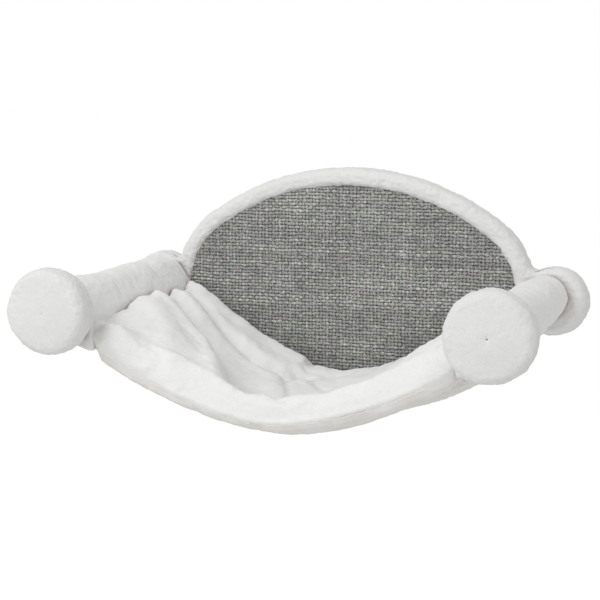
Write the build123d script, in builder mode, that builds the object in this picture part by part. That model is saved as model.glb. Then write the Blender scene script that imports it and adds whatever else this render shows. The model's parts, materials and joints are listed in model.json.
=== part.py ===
from build123d import *
from math import acos, atan2, cos, degrees, hypot, pi, radians, sin, sqrt
import os

os.makedirs("parts", exist_ok=True)

# Wall-mounted cat hammock, in millimetres. X runs to the right along the wall, Y into the
# wall and Z up. The origin is the middle of the board's back, in the plane of the wall.

# Arms, which the rest follows
arm_spacing = 452.0        # between the axes of the two arms
arm_rise = 6.0             # of the arms above the middle of the board
rod_radius = 20.0          # beech dowel
seat_gap = 0.3             # left between pieces that lie against each other
fit_gap = 0.1              # round a screw, bolt or insert in its hole

# Board, from the wall outwards
cloth = 2.5                # plush cloth with its pile pressed flat
panel_thickness = 15.0     # plywood
backer_thickness = 3.0     # hardboard under the sisal
sisal_thickness = 4.0
border_foam = 8.0          # foam ring under the plush border
border_width = 19.3
border_round = 9.0         # outer edge of the border, seen in section
border_lip_round = 6.0     # its inner edge, towards the sisal
margin_width = 14.0        # cloth turned in over the back
margin_round = 1.2
sisal_round = 1.5
arm_clearance = 32.3       # from an arm's axis in to the tip of the sisal
oval_half_height = 140.0
oval_end_radius = 105.0    # of the two end arcs of the four-arc oval
lobe_rim = 17.0            # of the board's round lobes beyond the rods
lobe_offset = 7.0          # of a lobe's centre beyond its arm
neck_blend = 8.0           # hollow corner between a lobe and the oval

# Staples that hold the turned-in cloth
staple_crown = 10.0
staple_wire = 0.9
staple_leg = 8.0
staple_sink = 0.3
staple_edge_distance = 8.0
long_arc_staple_count = 5       # on each of the two long arcs
end_arc_staple_count = 2        # on each quarter of the end arcs
lobe_staple_count = 3
long_arc_span_share = 0.68
lobe_staple_angle = 120.0  # spread round a lobe, in degrees

# Keyhole plates for the two wall screws
hanger_inset = 63.0        # from the oval's tip in to the middle of a plate
hanger_rise = 45.0
plate_width = 20.0
plate_height = 54.0
plate_thickness = 2.0
keyhole_radius = 5.0
keyhole_slot_width = 5.0
keyhole_travel = 12.0
pocket_depth = 9.0
pocket_margin = 2.0
screw_end_margin = 6.0     # from a screw's middle to the plate's end
screw_head_radius = 3.2
screw_head_height = 1.8
screw_shank_radius = 1.5
screw_length = 11.0

# Bolt that holds each arm, M8 with a hexagon head, let into the back of the panel
bolt_radius = 4.0
bolt_length = 35.0
bolt_head_flats = 13.0
bolt_head_height = 5.3
bolt_head_sink = 0.5       # of the head below the panel's back
bolt_clearance = 0.4
washer_radius = 12.0
washer_thickness = 1.6
insert_wall = 2.0
rear_insert_length = 25.0
drill_runout = 3.0         # of a blind hole beyond its insert

# End discs, each held by an M6 bolt with a hexagon socket, sunk in its face
disc_radius = 43.8
disc_thickness = 36.0
disc_front_round = 15.0
disc_back_round = 12.0
disc_crown = 2.5
core_radius = 32.0
core_thickness = 20.0
core_chamfer = 3.0
tuft_radius = 7.0          # of the dimple round the bolt's head
tuft_round = 4.0
cap_radius = 5.0
cap_height = 4.0
cap_chamfer = 0.5
cap_washer_radius = 6.5
cap_washer_thickness = 1.0
socket_flats = 4.0
socket_depth = 2.5
disc_bolt_radius = 3.0
thread_engaged_length = 12.0      # twelve turns of 1 mm pitch
front_insert_length = 14.0
bolt_tip_chamfer = 0.8

# Hammock: a padded mat between two sleeves that slide on the arms
hammock_length = 250.0     # along the arms
hammock_play = 3.0         # free at either end
sleeve_gap = 0.5
sleeve_wall = 6.5
sleeve_hem_round = 2.0
sleeve_neck = 9.0          # from a sleeve's round part in to the mat
sleeve_under_angle = -80.0  # where the round part ends below, in degrees
sleeve_hollow = 5.0        # of the underside between the round part and the mat
mat_end_rise = 3.0         # of the mat's top above the arm axes, at its ends
mat_end_drop_front = 50.0  # of the mat's underside below the arm axes, at its ends
mat_end_drop_rear = 42.0
rear_sag = 90.0            # of the mat's top below the arm axes, in the middle
front_sag = 80.0
bowl_sag = 16.0            # further down, inside the two rims
mat_thickness = 30.0
mat_edge_round = 17.0
mat_edge_share = 0.3       # of the thickness that is left at the very edge
fold_ridge = 7.0
fold_valley = 5.0
fold_puff = 5.0
fold_swell = 10.0           # of the filling inside the folds, at the rear rim
underside_thickness = 2.0
underside_gap = 0.6        # between the mat's lower face and the cloth under it

# Places that follow from the sizes above
arm_x = arm_spacing / 2
panel_front = cloth + panel_thickness
board_depth = panel_front + border_foam + cloth
sleeve_back = board_depth + hammock_play
sleeve_front = sleeve_back + hammock_length
disc_back = sleeve_front + hammock_play
disc_front = disc_back + disc_thickness
lobe_x = arm_x + lobe_offset
lobe_radius = rod_radius + lobe_rim
oval_half_width = arm_x - arm_clearance + border_width
hanger_spacing = 2 * (oval_half_width - hanger_inset)
end_arc_x = oval_half_width - oval_end_radius
flatness = oval_half_height - oval_end_radius
long_arc_drop = (end_arc_x**2 - flatness**2) / (2 * flatness)
long_arc_radius = oval_half_height + long_arc_drop
join_angle = atan2(long_arc_drop, end_arc_x)
sleeve_inner = rod_radius + sleeve_gap
sleeve_outer = sleeve_inner + sleeve_wall
mat_half_width = arm_x - sleeve_outer - sleeve_neck
sides = {"left": -1, "right": 1}


def polar(x, z, radius, angle):
    return x + radius * cos(angle), z + radius * sin(angle)


def draw_oval(inset):
    # Four arcs that run into each other, set in from the edge of the board.
    end_radius = oval_end_radius - inset
    join_x, join_z = polar(end_arc_x, 0, end_radius, join_angle)
    tip_x = oval_half_width - inset
    top_z = oval_half_height - inset
    with BuildLine() as edge:
        ThreePointArc((-join_x, join_z), (0, top_z), (join_x, join_z))
        ThreePointArc((join_x, join_z), (tip_x, 0), (join_x, -join_z))
        ThreePointArc((join_x, -join_z), (0, -top_z), (-join_x, -join_z))
        ThreePointArc((-join_x, -join_z), (-tip_x, 0), (-join_x, join_z))
    make_face(edge.edges())


def draw_board(inset):
    # The oval with a round lobe behind each arm and a blend in each of the four corners.
    end_radius = oval_end_radius - inset
    side_radius = lobe_radius - inset
    blend_radius = neck_blend + inset
    long_radius = long_arc_radius - inset
    # The centre of a blend lies where circles round the end arc and the lobe meet.
    end_reach = oval_end_radius + neck_blend
    lobe_reach = lobe_radius + neck_blend
    apart = lobe_x - end_arc_x
    blend_along = (apart**2 + end_reach**2 - lobe_reach**2) / (2 * apart)
    blend_x = end_arc_x + blend_along
    blend_z = sqrt(end_reach**2 - blend_along**2)
    end_angle = atan2(blend_z, blend_along)
    lobe_angle = atan2(blend_z, blend_x - lobe_x)
    blend_angle = (end_angle + lobe_angle) / 2 - pi
    long_angle = (join_angle + pi / 2) / 2
    arcs = (
        (0, -long_arc_drop, long_radius, pi / 2, long_angle, join_angle),
        (end_arc_x, 0, end_radius, join_angle, (join_angle + end_angle) / 2, end_angle),
        (blend_x, blend_z, blend_radius, end_angle - pi, blend_angle, lobe_angle - pi),
        (lobe_x, 0, side_radius, lobe_angle, lobe_angle / 2, 0),
    )
    with BuildLine() as edge:
        for out in (1, -1):
            for up in (1, -1):
                for x, z, radius, first, middle, last in arcs:
                    points = [polar(x, z, radius, angle) for angle in (first, middle, last)]
                    ThreePointArc(*[(out * px, up * pz) for px, pz in points])
    make_face(edge.edges())


def turn(points, x, z):
    # Revolve a profile of radius and depth points about an axis square to the wall.
    flat = Plane(origin=(x, 0, z), x_dir=(1, 0, 0), z_dir=(0, 0, 1))
    with BuildSketch(flat) as profile:
        with BuildLine():
            Polyline([(radius, -depth) for radius, depth in points], close=True)
        make_face()
    revolve(profile.sketch, axis=Axis((x, 0, z), (0, 1, 0)))


# Staples
def staple_places():
    # Rows of staples: centre, radius, count, first angle and spread, in degrees.
    arc_angle = degrees(join_angle)
    long_spread = 2 * degrees(pi / 2 - join_angle) * long_arc_span_share
    neck_angle = degrees(atan2(lobe_radius, lobe_x - end_arc_x))
    end_step = (arc_angle - neck_angle) / (end_arc_staple_count + 1)
    end_spread = end_step * (end_arc_staple_count - 1)
    rows = []
    for up in (1, -1):
        long_x, long_z = 0, -up * long_arc_drop
        long_first = degrees(up * pi / 2) - long_spread / 2
        rows.append((long_x, long_z, long_arc_radius, long_arc_staple_count, long_first, long_spread))
        for out, out_angle in ((1, 0), (-1, 180)):
            end_first = out_angle + up * (neck_angle + end_step) - (end_spread if up < 0 else 0)
            end_x = out * end_arc_x
            rows.append((end_x, 0, oval_end_radius, end_arc_staple_count, end_first, end_spread))
    for out, out_angle in ((1, 0), (-1, 180)):
        side_x = out * lobe_x
        side_first = out_angle - lobe_staple_angle / 2
        rows.append((side_x, 0, lobe_radius, lobe_staple_count, side_first, lobe_staple_angle))
    return rows


with BuildPart() as staples:
    with BuildSketch(Plane.XZ.offset(staple_sink)):
        for x, z, radius, count, first, spread in staple_places():
            with Locations((x, z)):
                with PolarLocations(radius - staple_edge_distance, count, first, spread, endpoint=True):
                    Rectangle(staple_wire, staple_crown)
    extrude(amount=staple_wire)
    with BuildSketch(Plane.XZ.offset(staple_sink)):
        for x, z, radius, count, first, spread in staple_places():
            with Locations((x, z)):
                with PolarLocations(radius - staple_edge_distance, count, first, spread, endpoint=True):
                    with GridLocations(staple_crown, staple_crown - staple_wire, 1, 2):
                        Rectangle(staple_wire, staple_wire)
    extrude(amount=staple_leg)
staples.part.label = "staples"
export_step(staples.part, "parts/staples.step")

# Back panel: plywood with bolt holes, pockets behind the keyholes and pilot holes
washer_depth = cloth + bolt_head_sink + bolt_head_height
bolt_bore_depth = bolt_head_sink + bolt_head_height + washer_thickness
keyhole_z = hanger_rise - keyhole_travel / 2
screw_spacing = plate_height - 2 * screw_end_margin
pocket_length = keyhole_travel + 2 * (keyhole_radius + pocket_margin)
pocket_width = 2 * (keyhole_radius + pocket_margin)
screw_places = [
    (side * hanger_spacing / 2, hanger_rise + up * screw_spacing / 2)
    for side in (-1, 1)
    for up in (-1, 1)
]

with BuildPart() as back_panel:
    with BuildSketch(Plane.XZ.offset(cloth)):
        draw_board(cloth)
    extrude(amount=panel_thickness)
    with BuildSketch(Plane.XZ.offset(cloth)):
        with Locations((-arm_x, arm_rise), (arm_x, arm_rise)):
            Circle(washer_radius + seat_gap)
    extrude(amount=bolt_bore_depth, mode=Mode.SUBTRACT)
    with BuildSketch(Plane.XZ.offset(cloth)):
        with Locations((-arm_x, arm_rise), (arm_x, arm_rise)):
            Circle(bolt_radius + bolt_clearance)
    extrude(amount=panel_thickness, mode=Mode.SUBTRACT)
    with BuildSketch(Plane.XZ.offset(cloth)):
        with Locations((-hanger_spacing / 2, hanger_rise), (hanger_spacing / 2, hanger_rise)):
            SlotOverall(pocket_length, pocket_width, rotation=90)
    extrude(amount=pocket_depth, mode=Mode.SUBTRACT)
    with BuildSketch(Plane.XZ.offset(cloth)):
        with Locations(*screw_places):
            Circle(screw_shank_radius + fit_gap)
    extrude(amount=screw_length, mode=Mode.SUBTRACT)
    add(staples.part, mode=Mode.SUBTRACT)
back_panel.part.label = "back_panel"
export_step(back_panel.part, "parts/back_panel.step")

# Sisal scratching face: hardboard backer with the woven mat over it
sisal_inset = border_width + seat_gap

with BuildPart() as sisal_backer:
    with BuildSketch(Plane.XZ.offset(panel_front)):
        draw_oval(sisal_inset)
    extrude(amount=backer_thickness)
sisal_backer.part.label = "sisal_backer"
export_step(sisal_backer.part, "parts/sisal_backer.step")

with BuildPart() as sisal_mat:
    with BuildSketch(Plane.XZ.offset(panel_front + backer_thickness)):
        draw_oval(sisal_inset)
    extrude(amount=sisal_thickness)
    fillet(sisal_mat.faces().sort_by(Axis.Y)[0].edges(), sisal_round)
sisal_mat.part.label = "sisal_mat"
export_step(sisal_mat.part, "parts/sisal_mat.step")


# Padded border: a foam ring that is rounded in front, under a plush cover
def draw_rod_holes():
    with Locations((-arm_x, arm_rise), (arm_x, arm_rise)):
        Circle(rod_radius + seat_gap)


def foam_ring(gap):
    # The foam ring, with its skin moved in by a gap. A zero gap gives the room for it.
    with BuildPart() as ring:
        with BuildSketch(Plane.XZ.offset(panel_front)):
            draw_board(cloth + gap)
        extrude(amount=border_foam - gap)
        fillet(ring.faces().sort_by(Axis.Y)[0].edges(), border_round - cloth)
        with BuildSketch(Plane.XZ.offset(panel_front)):
            draw_oval(border_width - cloth - gap)
        extrude(amount=border_foam, mode=Mode.SUBTRACT)
        lip = ring.faces().sort_by(Axis.Y)[0].inner_wires()[0]
        fillet(lip.edges(), border_lip_round - cloth)
    return ring.part


border_room = foam_ring(0)

with BuildPart() as border_padding:
    add(foam_ring(seat_gap))
    with BuildSketch(Plane.XZ.offset(panel_front)):
        draw_rod_holes()
    extrude(amount=border_foam, mode=Mode.SUBTRACT)
border_padding.part.label = "border_padding"
export_step(border_padding.part, "parts/border_padding.step")

with BuildPart() as border_plush:
    with BuildSketch(Plane.XZ):
        draw_board(0)
    extrude(amount=board_depth)
    fillet(border_plush.faces().sort_by(Axis.Y)[0].edges(), border_round)
    fillet(border_plush.faces().sort_by(Axis.Y)[-1].edges(), margin_round)
    with BuildSketch(Plane.XZ.offset(panel_front)):
        draw_oval(border_width)
    extrude(amount=board_depth - panel_front, mode=Mode.SUBTRACT)
    lip = border_plush.faces().sort_by(Axis.Y)[0].inner_wires()[0]
    fillet(lip.edges(), border_lip_round)
    with BuildSketch(Plane.XZ.offset(cloth)):
        draw_board(cloth)
    extrude(amount=panel_thickness, mode=Mode.SUBTRACT)
    add(border_room, mode=Mode.SUBTRACT)
    with BuildSketch(Plane.XZ):
        draw_board(margin_width)
    extrude(amount=cloth, mode=Mode.SUBTRACT)
    with BuildSketch(Plane.XZ.offset(panel_front)):
        draw_rod_holes()
    extrude(amount=board_depth - panel_front, mode=Mode.SUBTRACT)
    add(staples.part, mode=Mode.SUBTRACT)
border_plush.part.label = "border_plush"
export_step(border_plush.part, "parts/border_plush.step")

# Keyhole plates, let in flush with the panel's back under the depth of the cloth
for hand, side in sides.items():
    with BuildPart() as keyhole_plate:
        with BuildSketch(Plane.XZ.offset(cloth - plate_thickness)):
            with Locations((side * hanger_spacing / 2, hanger_rise)):
                SlotOverall(plate_height, plate_width, rotation=90)
            with Locations((side * hanger_spacing / 2, keyhole_z)):
                Circle(keyhole_radius, mode=Mode.SUBTRACT)
            with Locations((side * hanger_spacing / 2, hanger_rise)):
                SlotCenterToCenter(keyhole_travel, keyhole_slot_width, rotation=90, mode=Mode.SUBTRACT)
        extrude(amount=plate_thickness)
        for x, z in screw_places:
            back_face = Plane.XZ.offset(cloth - plate_thickness)
            if x * side > 0:
                with Locations(Plane(origin=back_face.from_local_coords((x, z, 0)), z_dir=(0, 1, 0))):
                    CounterSinkHole(screw_shank_radius + fit_gap, screw_head_radius + fit_gap)
    keyhole_plate.part.label = f"{hand}_keyhole_plate"
    export_step(keyhole_plate.part, f"parts/{hand}_keyhole_plate.step")

with BuildPart() as plate_screws:
    head_depth = cloth - plate_thickness
    for x, z in screw_places:
        turn(
            [
                (0, head_depth),
                (screw_head_radius, head_depth),
                (screw_shank_radius, head_depth + screw_head_height),
                (screw_shank_radius, head_depth + screw_length - screw_shank_radius),
                (0, head_depth + screw_length),
            ],
            x,
            z,
        )
plate_screws.part.label = "plate_screws"
export_step(plate_screws.part, "parts/plate_screws.step")

# Arms: a dowel with a threaded insert at each end, pulled to the panel by a bolt from behind
rod_front = disc_back - seat_gap
rear_insert_radius = bolt_radius + insert_wall
front_insert_radius = disc_bolt_radius + insert_wall
socket_bottom = disc_front - disc_thickness + cloth + core_thickness + cloth
disc_bolt_tip = rod_front - thread_engaged_length

for hand, side in sides.items():
    axis_x = side * arm_x

    with BuildPart() as arm_rod:
        with BuildSketch(Plane.XZ.offset(panel_front)):
            with Locations((axis_x, arm_rise)):
                Circle(rod_radius)
        extrude(amount=rod_front - panel_front)
        with BuildSketch(Plane.XZ.offset(panel_front)):
            with Locations((axis_x, arm_rise)):
                Circle(rear_insert_radius + fit_gap)
        extrude(amount=rear_insert_length + drill_runout, mode=Mode.SUBTRACT)
        with BuildSketch(Plane.XZ.offset(rod_front)):
            with Locations((axis_x, arm_rise)):
                Circle(front_insert_radius + fit_gap)
        extrude(amount=-(front_insert_length + drill_runout), mode=Mode.SUBTRACT)
    arm_rod.part.label = f"{hand}_arm_rod"
    export_step(arm_rod.part, f"parts/{hand}_arm_rod.step")

    with BuildPart() as rear_insert:
        with BuildSketch(Plane.XZ.offset(panel_front)):
            with Locations((axis_x, arm_rise)):
                Circle(rear_insert_radius)
                Circle(bolt_radius, mode=Mode.SUBTRACT)
        extrude(amount=rear_insert_length)
    rear_insert.part.label = f"{hand}_rear_insert"
    export_step(rear_insert.part, f"parts/{hand}_rear_insert.step")

    with BuildPart() as arm_bolt:
        with BuildSketch(Plane.XZ.offset(washer_depth - bolt_head_height)):
            with Locations((axis_x, arm_rise)):
                RegularPolygon(bolt_head_flats / 2, 6, major_radius=False)
        extrude(amount=bolt_head_height)
        with BuildSketch(Plane.XZ.offset(washer_depth)):
            with Locations((axis_x, arm_rise)):
                Circle(bolt_radius - fit_gap)
        extrude(amount=bolt_length)
        chamfer(arm_bolt.faces().sort_by(Axis.Y)[0].edges(), bolt_tip_chamfer)
    arm_bolt.part.label = f"{hand}_arm_bolt"
    export_step(arm_bolt.part, f"parts/{hand}_arm_bolt.step")

    with BuildPart() as bolt_washer:
        with BuildSketch(Plane.XZ.offset(washer_depth)):
            with Locations((axis_x, arm_rise)):
                Circle(washer_radius)
                Circle(bolt_radius + bolt_clearance, mode=Mode.SUBTRACT)
        extrude(amount=washer_thickness)
    bolt_washer.part.label = f"{hand}_bolt_washer"
    export_step(bolt_washer.part, f"parts/{hand}_bolt_washer.step")

    with BuildPart() as front_insert:
        with BuildSketch(Plane.XZ.offset(rod_front - front_insert_length)):
            with Locations((axis_x, arm_rise)):
                Circle(front_insert_radius)
                Circle(disc_bolt_radius, mode=Mode.SUBTRACT)
        extrude(amount=front_insert_length)
    front_insert.part.label = f"{hand}_front_insert"
    export_step(front_insert.part, f"parts/{hand}_front_insert.step")


# End discs: a beech core in foam under plush, dimpled round the bolt
def disc_form(inset, x):
    # Body of the disc, with its skin moved in: flat back, round rim, crowned face, dimple.
    back = disc_back + inset
    front = disc_front - inset
    rim = disc_radius - inset
    back_round = disc_back_round - inset
    front_round = disc_front_round - inset
    dimple = tuft_radius + inset
    floor = socket_bottom - inset
    shoulder = front - disc_crown
    lip_round = tuft_round + inset
    slant = sqrt(2) / 2
    flat = Plane(origin=(x, 0, arm_rise), x_dir=(1, 0, 0), z_dir=(0, 0, 1))
    with BuildPart() as body:
        with BuildSketch(flat):
            with BuildLine():
                Line((0, -back), (rim - back_round, -back))
                ThreePointArc(
                    (rim - back_round, -back),
                    (rim - back_round * (1 - slant), -back - back_round * (1 - slant)),
                    (rim, -back - back_round),
                )
                Line((rim, -back - back_round), (rim, -shoulder + front_round))
                ThreePointArc(
                    (rim, -shoulder + front_round),
                    (rim - front_round * (1 - slant), -shoulder + front_round * (1 - slant)),
                    (rim - front_round, -shoulder),
                )
                SagittaArc(
                    (rim - front_round, -shoulder),
                    (dimple + lip_round, -front),
                    (rim - front_round - dimple) / disc_radius,
                )
                ThreePointArc(
                    (dimple + lip_round, -front),
                    (dimple + lip_round * (1 - slant), -front + lip_round * (1 - slant)),
                    (dimple, -front + lip_round),
                )
                Polyline(
                    (dimple, -front + lip_round), (dimple, -floor), (0, -floor), (0, -back)
                )
            make_face()
        revolve(axis=Axis((x, 0, arm_rise), (0, 1, 0)))
    return body.part


for hand, side in sides.items():
    axis_x = side * arm_x
    core_back = disc_back + cloth

    with BuildPart() as disc_core:
        with BuildSketch(Plane.XZ.offset(core_back)):
            with Locations((axis_x, arm_rise)):
                Circle(core_radius)
        extrude(amount=core_thickness)
        chamfer(disc_core.edges(), core_chamfer)
        with BuildSketch(Plane.XZ.offset(core_back)):
            with Locations((axis_x, arm_rise)):
                Circle(disc_bolt_radius + fit_gap)
        extrude(amount=core_thickness, mode=Mode.SUBTRACT)
    disc_core.part.label = f"{hand}_disc_core"
    export_step(disc_core.part, f"parts/{hand}_disc_core.step")

    disc_room = disc_form(cloth, axis_x)

    with BuildPart() as disc_padding:
        add(disc_form(cloth + seat_gap, axis_x))
        with BuildSketch(Plane.XZ.offset(disc_back)):
            with Locations((axis_x, arm_rise)):
                Circle(core_radius + seat_gap)
        extrude(amount=cloth + core_thickness, mode=Mode.SUBTRACT)
    disc_padding.part.label = f"{hand}_disc_padding"
    export_step(disc_padding.part, f"parts/{hand}_disc_padding.step")

    with BuildPart() as disc_cover:
        add(disc_form(0, axis_x))
        add(disc_room, mode=Mode.SUBTRACT)
        with BuildSketch(Plane.XZ.offset(disc_back)):
            with Locations((axis_x, arm_rise)):
                Circle(disc_bolt_radius + fit_gap)
        extrude(amount=disc_thickness, mode=Mode.SUBTRACT)
    disc_cover.part.label = f"{hand}_disc_cover"
    export_step(disc_cover.part, f"parts/{hand}_disc_cover.step")

    with BuildPart() as cap_washer:
        with BuildSketch(Plane.XZ.offset(socket_bottom)):
            with Locations((axis_x, arm_rise)):
                Circle(cap_washer_radius)
                Circle(disc_bolt_radius + fit_gap, mode=Mode.SUBTRACT)
        extrude(amount=cap_washer_thickness)
    cap_washer.part.label = f"{hand}_disc_washer"
    export_step(cap_washer.part, f"parts/{hand}_disc_washer.step")

    cap_back = socket_bottom + cap_washer_thickness
    with BuildPart() as disc_bolt:
        with BuildSketch(Plane.XZ.offset(cap_back)):
            with Locations((axis_x, arm_rise)):
                Circle(cap_radius)
        extrude(amount=cap_height)
        chamfer(disc_bolt.faces().sort_by(Axis.Y)[0].edges(), cap_chamfer)
        with BuildSketch(Plane.XZ.offset(cap_back + cap_height)):
            with Locations((axis_x, arm_rise)):
                RegularPolygon(socket_flats / 2, 6, major_radius=False)
        extrude(amount=-socket_depth, mode=Mode.SUBTRACT)
        with BuildSketch(Plane.XZ.offset(cap_back)):
            with Locations((axis_x, arm_rise)):
                Circle(disc_bolt_radius - fit_gap)
        extrude(amount=disc_bolt_tip - cap_back)
        chamfer(disc_bolt.faces().sort_by(Axis.Y)[-1].edges(), bolt_tip_chamfer)
    disc_bolt.part.label = f"{hand}_disc_bolt"
    export_step(disc_bolt.part, f"parts/{hand}_disc_bolt.step")

# Sleeves of the hammock: round the arm, drawn out below into a neck that meets the mat
for hand, side in sides.items():
    neck_x = sleeve_outer + sleeve_neck - seat_gap
    neck_angle = atan2(mat_end_rise, -neck_x) - acos(sleeve_outer / hypot(neck_x, mat_end_rise))
    under_angle = radians(sleeve_under_angle)
    top_angle = (neck_angle + under_angle) / 2

    def rim_point(angle):
        return side * sleeve_outer * cos(angle), sleeve_outer * sin(angle)

    arm_plane = Plane(origin=(side * arm_x, -sleeve_back, arm_rise), x_dir=(1, 0, 0), z_dir=(0, -1, 0))
    neck_top = (-side * neck_x, mat_end_rise)
    neck_foot = (-side * neck_x, -mat_end_drop_front)
    under_x, under_z = rim_point(under_angle)
    hollow = ((under_x + neck_foot[0]) / 2, (under_z + neck_foot[1]) / 2 + sleeve_hollow)
    with BuildPart() as sleeve:
        with BuildSketch(arm_plane):
            with BuildLine():
                Line(neck_top, rim_point(neck_angle))
                ThreePointArc(rim_point(neck_angle), rim_point(top_angle), rim_point(under_angle))
                ThreePointArc(rim_point(under_angle), hollow, neck_foot)
                Line(neck_foot, neck_top)
            make_face()
            Circle(sleeve_inner, mode=Mode.SUBTRACT)
        extrude(amount=hammock_length)
        for end in (0, -1):
            hem = sleeve.faces().sort_by(Axis.Y)[end].outer_wire()
            fillet(hem.edges(), sleeve_hem_round)
    sleeve.part.label = f"{hand}_sleeve"
    export_step(sleeve.part, f"parts/{hand}_sleeve.step")

# Hammock mat: sections across the arms, from the rear rim to the front rim
# Each row: share of the length, of the bowl's sag, of the fold's height and of the half width out to the ridge
mat_row_shares = (
    (0.0, 0.0, 0.0, 0.92),
    (0.015, 0.0, 0.0, 0.92),
    (0.06, 0.05, 0.2, 0.92),
    (0.17, 0.45, 0.4, 0.92),
    (0.33, 0.85, 0.6, 0.92),
    (0.5, 1.0, 1.0, 0.83),
    (0.67, 0.9, 1.0, 0.58),
    (0.81, 0.5, 1.0, 0.47),
    (0.92, 0.08, 0.5, 0.4),
    (0.985, 0.0, 0.0, 0.4),
    (1.0, 0.0, 0.0, 0.4),
)
top_fullness_share = 1.5
low_fullness_share = 1.7
valley_width_share = 0.3
low_middle_share = 1 / 2     # of the half width, where the middle arc below ends
low_side_share = 3 / 4
half_share = 1 / 2


def mat_edge(along):
    # Share of the full thickness, rounded towards the front and rear edges.
    from_edge = min(along, 1 - along) * hammock_length
    if from_edge >= mat_edge_round:
        return 1
    rounded = sqrt(1 - (1 - from_edge / mat_edge_round) ** 2)
    return mat_edge_share + (1 - mat_edge_share) * rounded


def mat_top(across, along, sag_share):
    middle = -(rear_sag + (front_sag - rear_sag) * along + bowl_sag * sag_share)
    return middle + (mat_end_rise - middle) * abs(across) ** top_fullness_share


def mat_low(across, along, sag_share):
    middle = mat_top(0, along, sag_share) - mat_thickness
    end = -(mat_end_drop_rear + (mat_end_drop_front - mat_end_drop_rear) * along)
    return middle + (end - middle) * abs(across) ** low_fullness_share


def draw_mat_row(along, sag_share, fold_share, ridge):
    # Closed outline: five arcs with a ridge and a valley each side above, three arcs below.
    valley = ridge - valley_width_share
    edge = mat_edge(along)

    def point(across, lift, share):
        top = mat_top(across, along, sag_share) + lift * fold_share
        low = mat_low(across, along, sag_share)
        middle = (top + low) / 2
        height = middle + (top - low) * (share - half_share) * edge
        return across * mat_half_width, arm_rise + height

    for hand in (-1, 1):
        ThreePointArc(
            point(hand, 0, 1),
            point(hand * (1 + ridge) / 2, fold_puff, 1),
            point(hand * ridge, fold_ridge, 1),
        )
        ThreePointArc(
            point(hand * ridge, fold_ridge, 1),
            point(hand * (ridge + valley) / 2, -fold_valley, 1),
            point(hand * valley, fold_swell * (1 - along), 1),
        )
        ThreePointArc(
            point(hand * low_middle_share, 0, 0),
            point(hand * low_side_share, 0, 0),
            point(hand, 0, 0),
        )
        Line(point(hand, 0, 0), point(hand, 0, 1))
    ThreePointArc(
        point(-valley, fold_swell * (1 - along), 1),
        point(0, 0, 1),
        point(valley, fold_swell * (1 - along), 1),
    )
    ThreePointArc(point(-low_middle_share, 0, 0), point(0, 0, 0), point(low_middle_share, 0, 0))


with BuildPart() as hammock_mat:
    for along, sag_share, fold_share, ridge_share in mat_row_shares:
        with BuildSketch(Plane.XZ.offset(sleeve_back + along * hammock_length)):
            with BuildLine():
                draw_mat_row(along, sag_share, fold_share, ridge_share)
            make_face()
    loft()
hammock_mat.part.label = "hammock_mat"
export_step(hammock_mat.part, "parts/hammock_mat.step")


# Underside cloth of the mat, which follows the mat's lower face
def draw_underside_row(along, sag_share):
    edge = mat_edge(along)

    def point(across, drop):
        top = mat_top(across, along, sag_share)
        low = mat_low(across, along, sag_share)
        height = (top + low) / 2 - (top - low) / 2 * edge - drop
        return across * mat_half_width, arm_rise + height

    for drop in (underside_gap, underside_gap + underside_thickness):
        for hand in (-1, 1):
            ThreePointArc(
                point(hand * low_middle_share, drop),
                point(hand * low_side_share, drop),
                point(hand, drop),
            )
        ThreePointArc(point(-low_middle_share, drop), point(0, drop), point(low_middle_share, drop))
    for hand in (-1, 1):
        Line(point(hand, underside_gap), point(hand, underside_gap + underside_thickness))


with BuildPart() as mat_underside:
    for along, sag_share, fold_share, ridge_share in mat_row_shares:
        with BuildSketch(Plane.XZ.offset(sleeve_back + along * hammock_length)):
            with BuildLine():
                draw_underside_row(along, sag_share)
            make_face()
    loft()
mat_underside.part.label = "mat_underside"
export_step(mat_underside.part, "parts/mat_underside.step")
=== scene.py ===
import json
import math

import bpy
import numpy as np
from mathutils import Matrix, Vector


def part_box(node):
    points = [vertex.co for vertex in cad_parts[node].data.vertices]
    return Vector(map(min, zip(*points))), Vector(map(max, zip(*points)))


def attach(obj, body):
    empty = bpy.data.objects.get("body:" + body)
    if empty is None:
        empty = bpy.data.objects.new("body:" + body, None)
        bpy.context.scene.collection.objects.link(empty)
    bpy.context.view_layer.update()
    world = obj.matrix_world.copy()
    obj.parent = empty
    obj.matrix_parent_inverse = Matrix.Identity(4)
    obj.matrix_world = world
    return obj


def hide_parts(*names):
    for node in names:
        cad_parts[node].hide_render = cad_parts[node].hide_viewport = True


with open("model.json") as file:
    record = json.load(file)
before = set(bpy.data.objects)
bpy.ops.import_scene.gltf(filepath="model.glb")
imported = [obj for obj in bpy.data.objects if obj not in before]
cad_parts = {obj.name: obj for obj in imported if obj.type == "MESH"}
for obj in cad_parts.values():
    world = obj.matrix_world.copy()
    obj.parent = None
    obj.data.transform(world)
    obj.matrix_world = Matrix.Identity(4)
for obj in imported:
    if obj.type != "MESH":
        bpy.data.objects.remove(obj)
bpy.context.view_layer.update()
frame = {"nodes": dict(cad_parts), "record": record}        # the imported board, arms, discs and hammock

scene = bpy.context.scene
scene.view_settings.view_transform = "Standard"
millimetre = 0.001


def nodeBox(node):
    # Lowest and highest corner of a CAD node, in millimetres to a tenth.
    return np.round(np.array([list(corner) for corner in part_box(node)]) / millimetre, 1)


leftRod, rightRod = nodeBox("left_arm_rod"), nodeBox("right_arm_rod")
sleeveBox, coverBox, borderBox = nodeBox("left_sleeve"), nodeBox("left_disc_cover"), nodeBox("border_plush")

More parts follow.
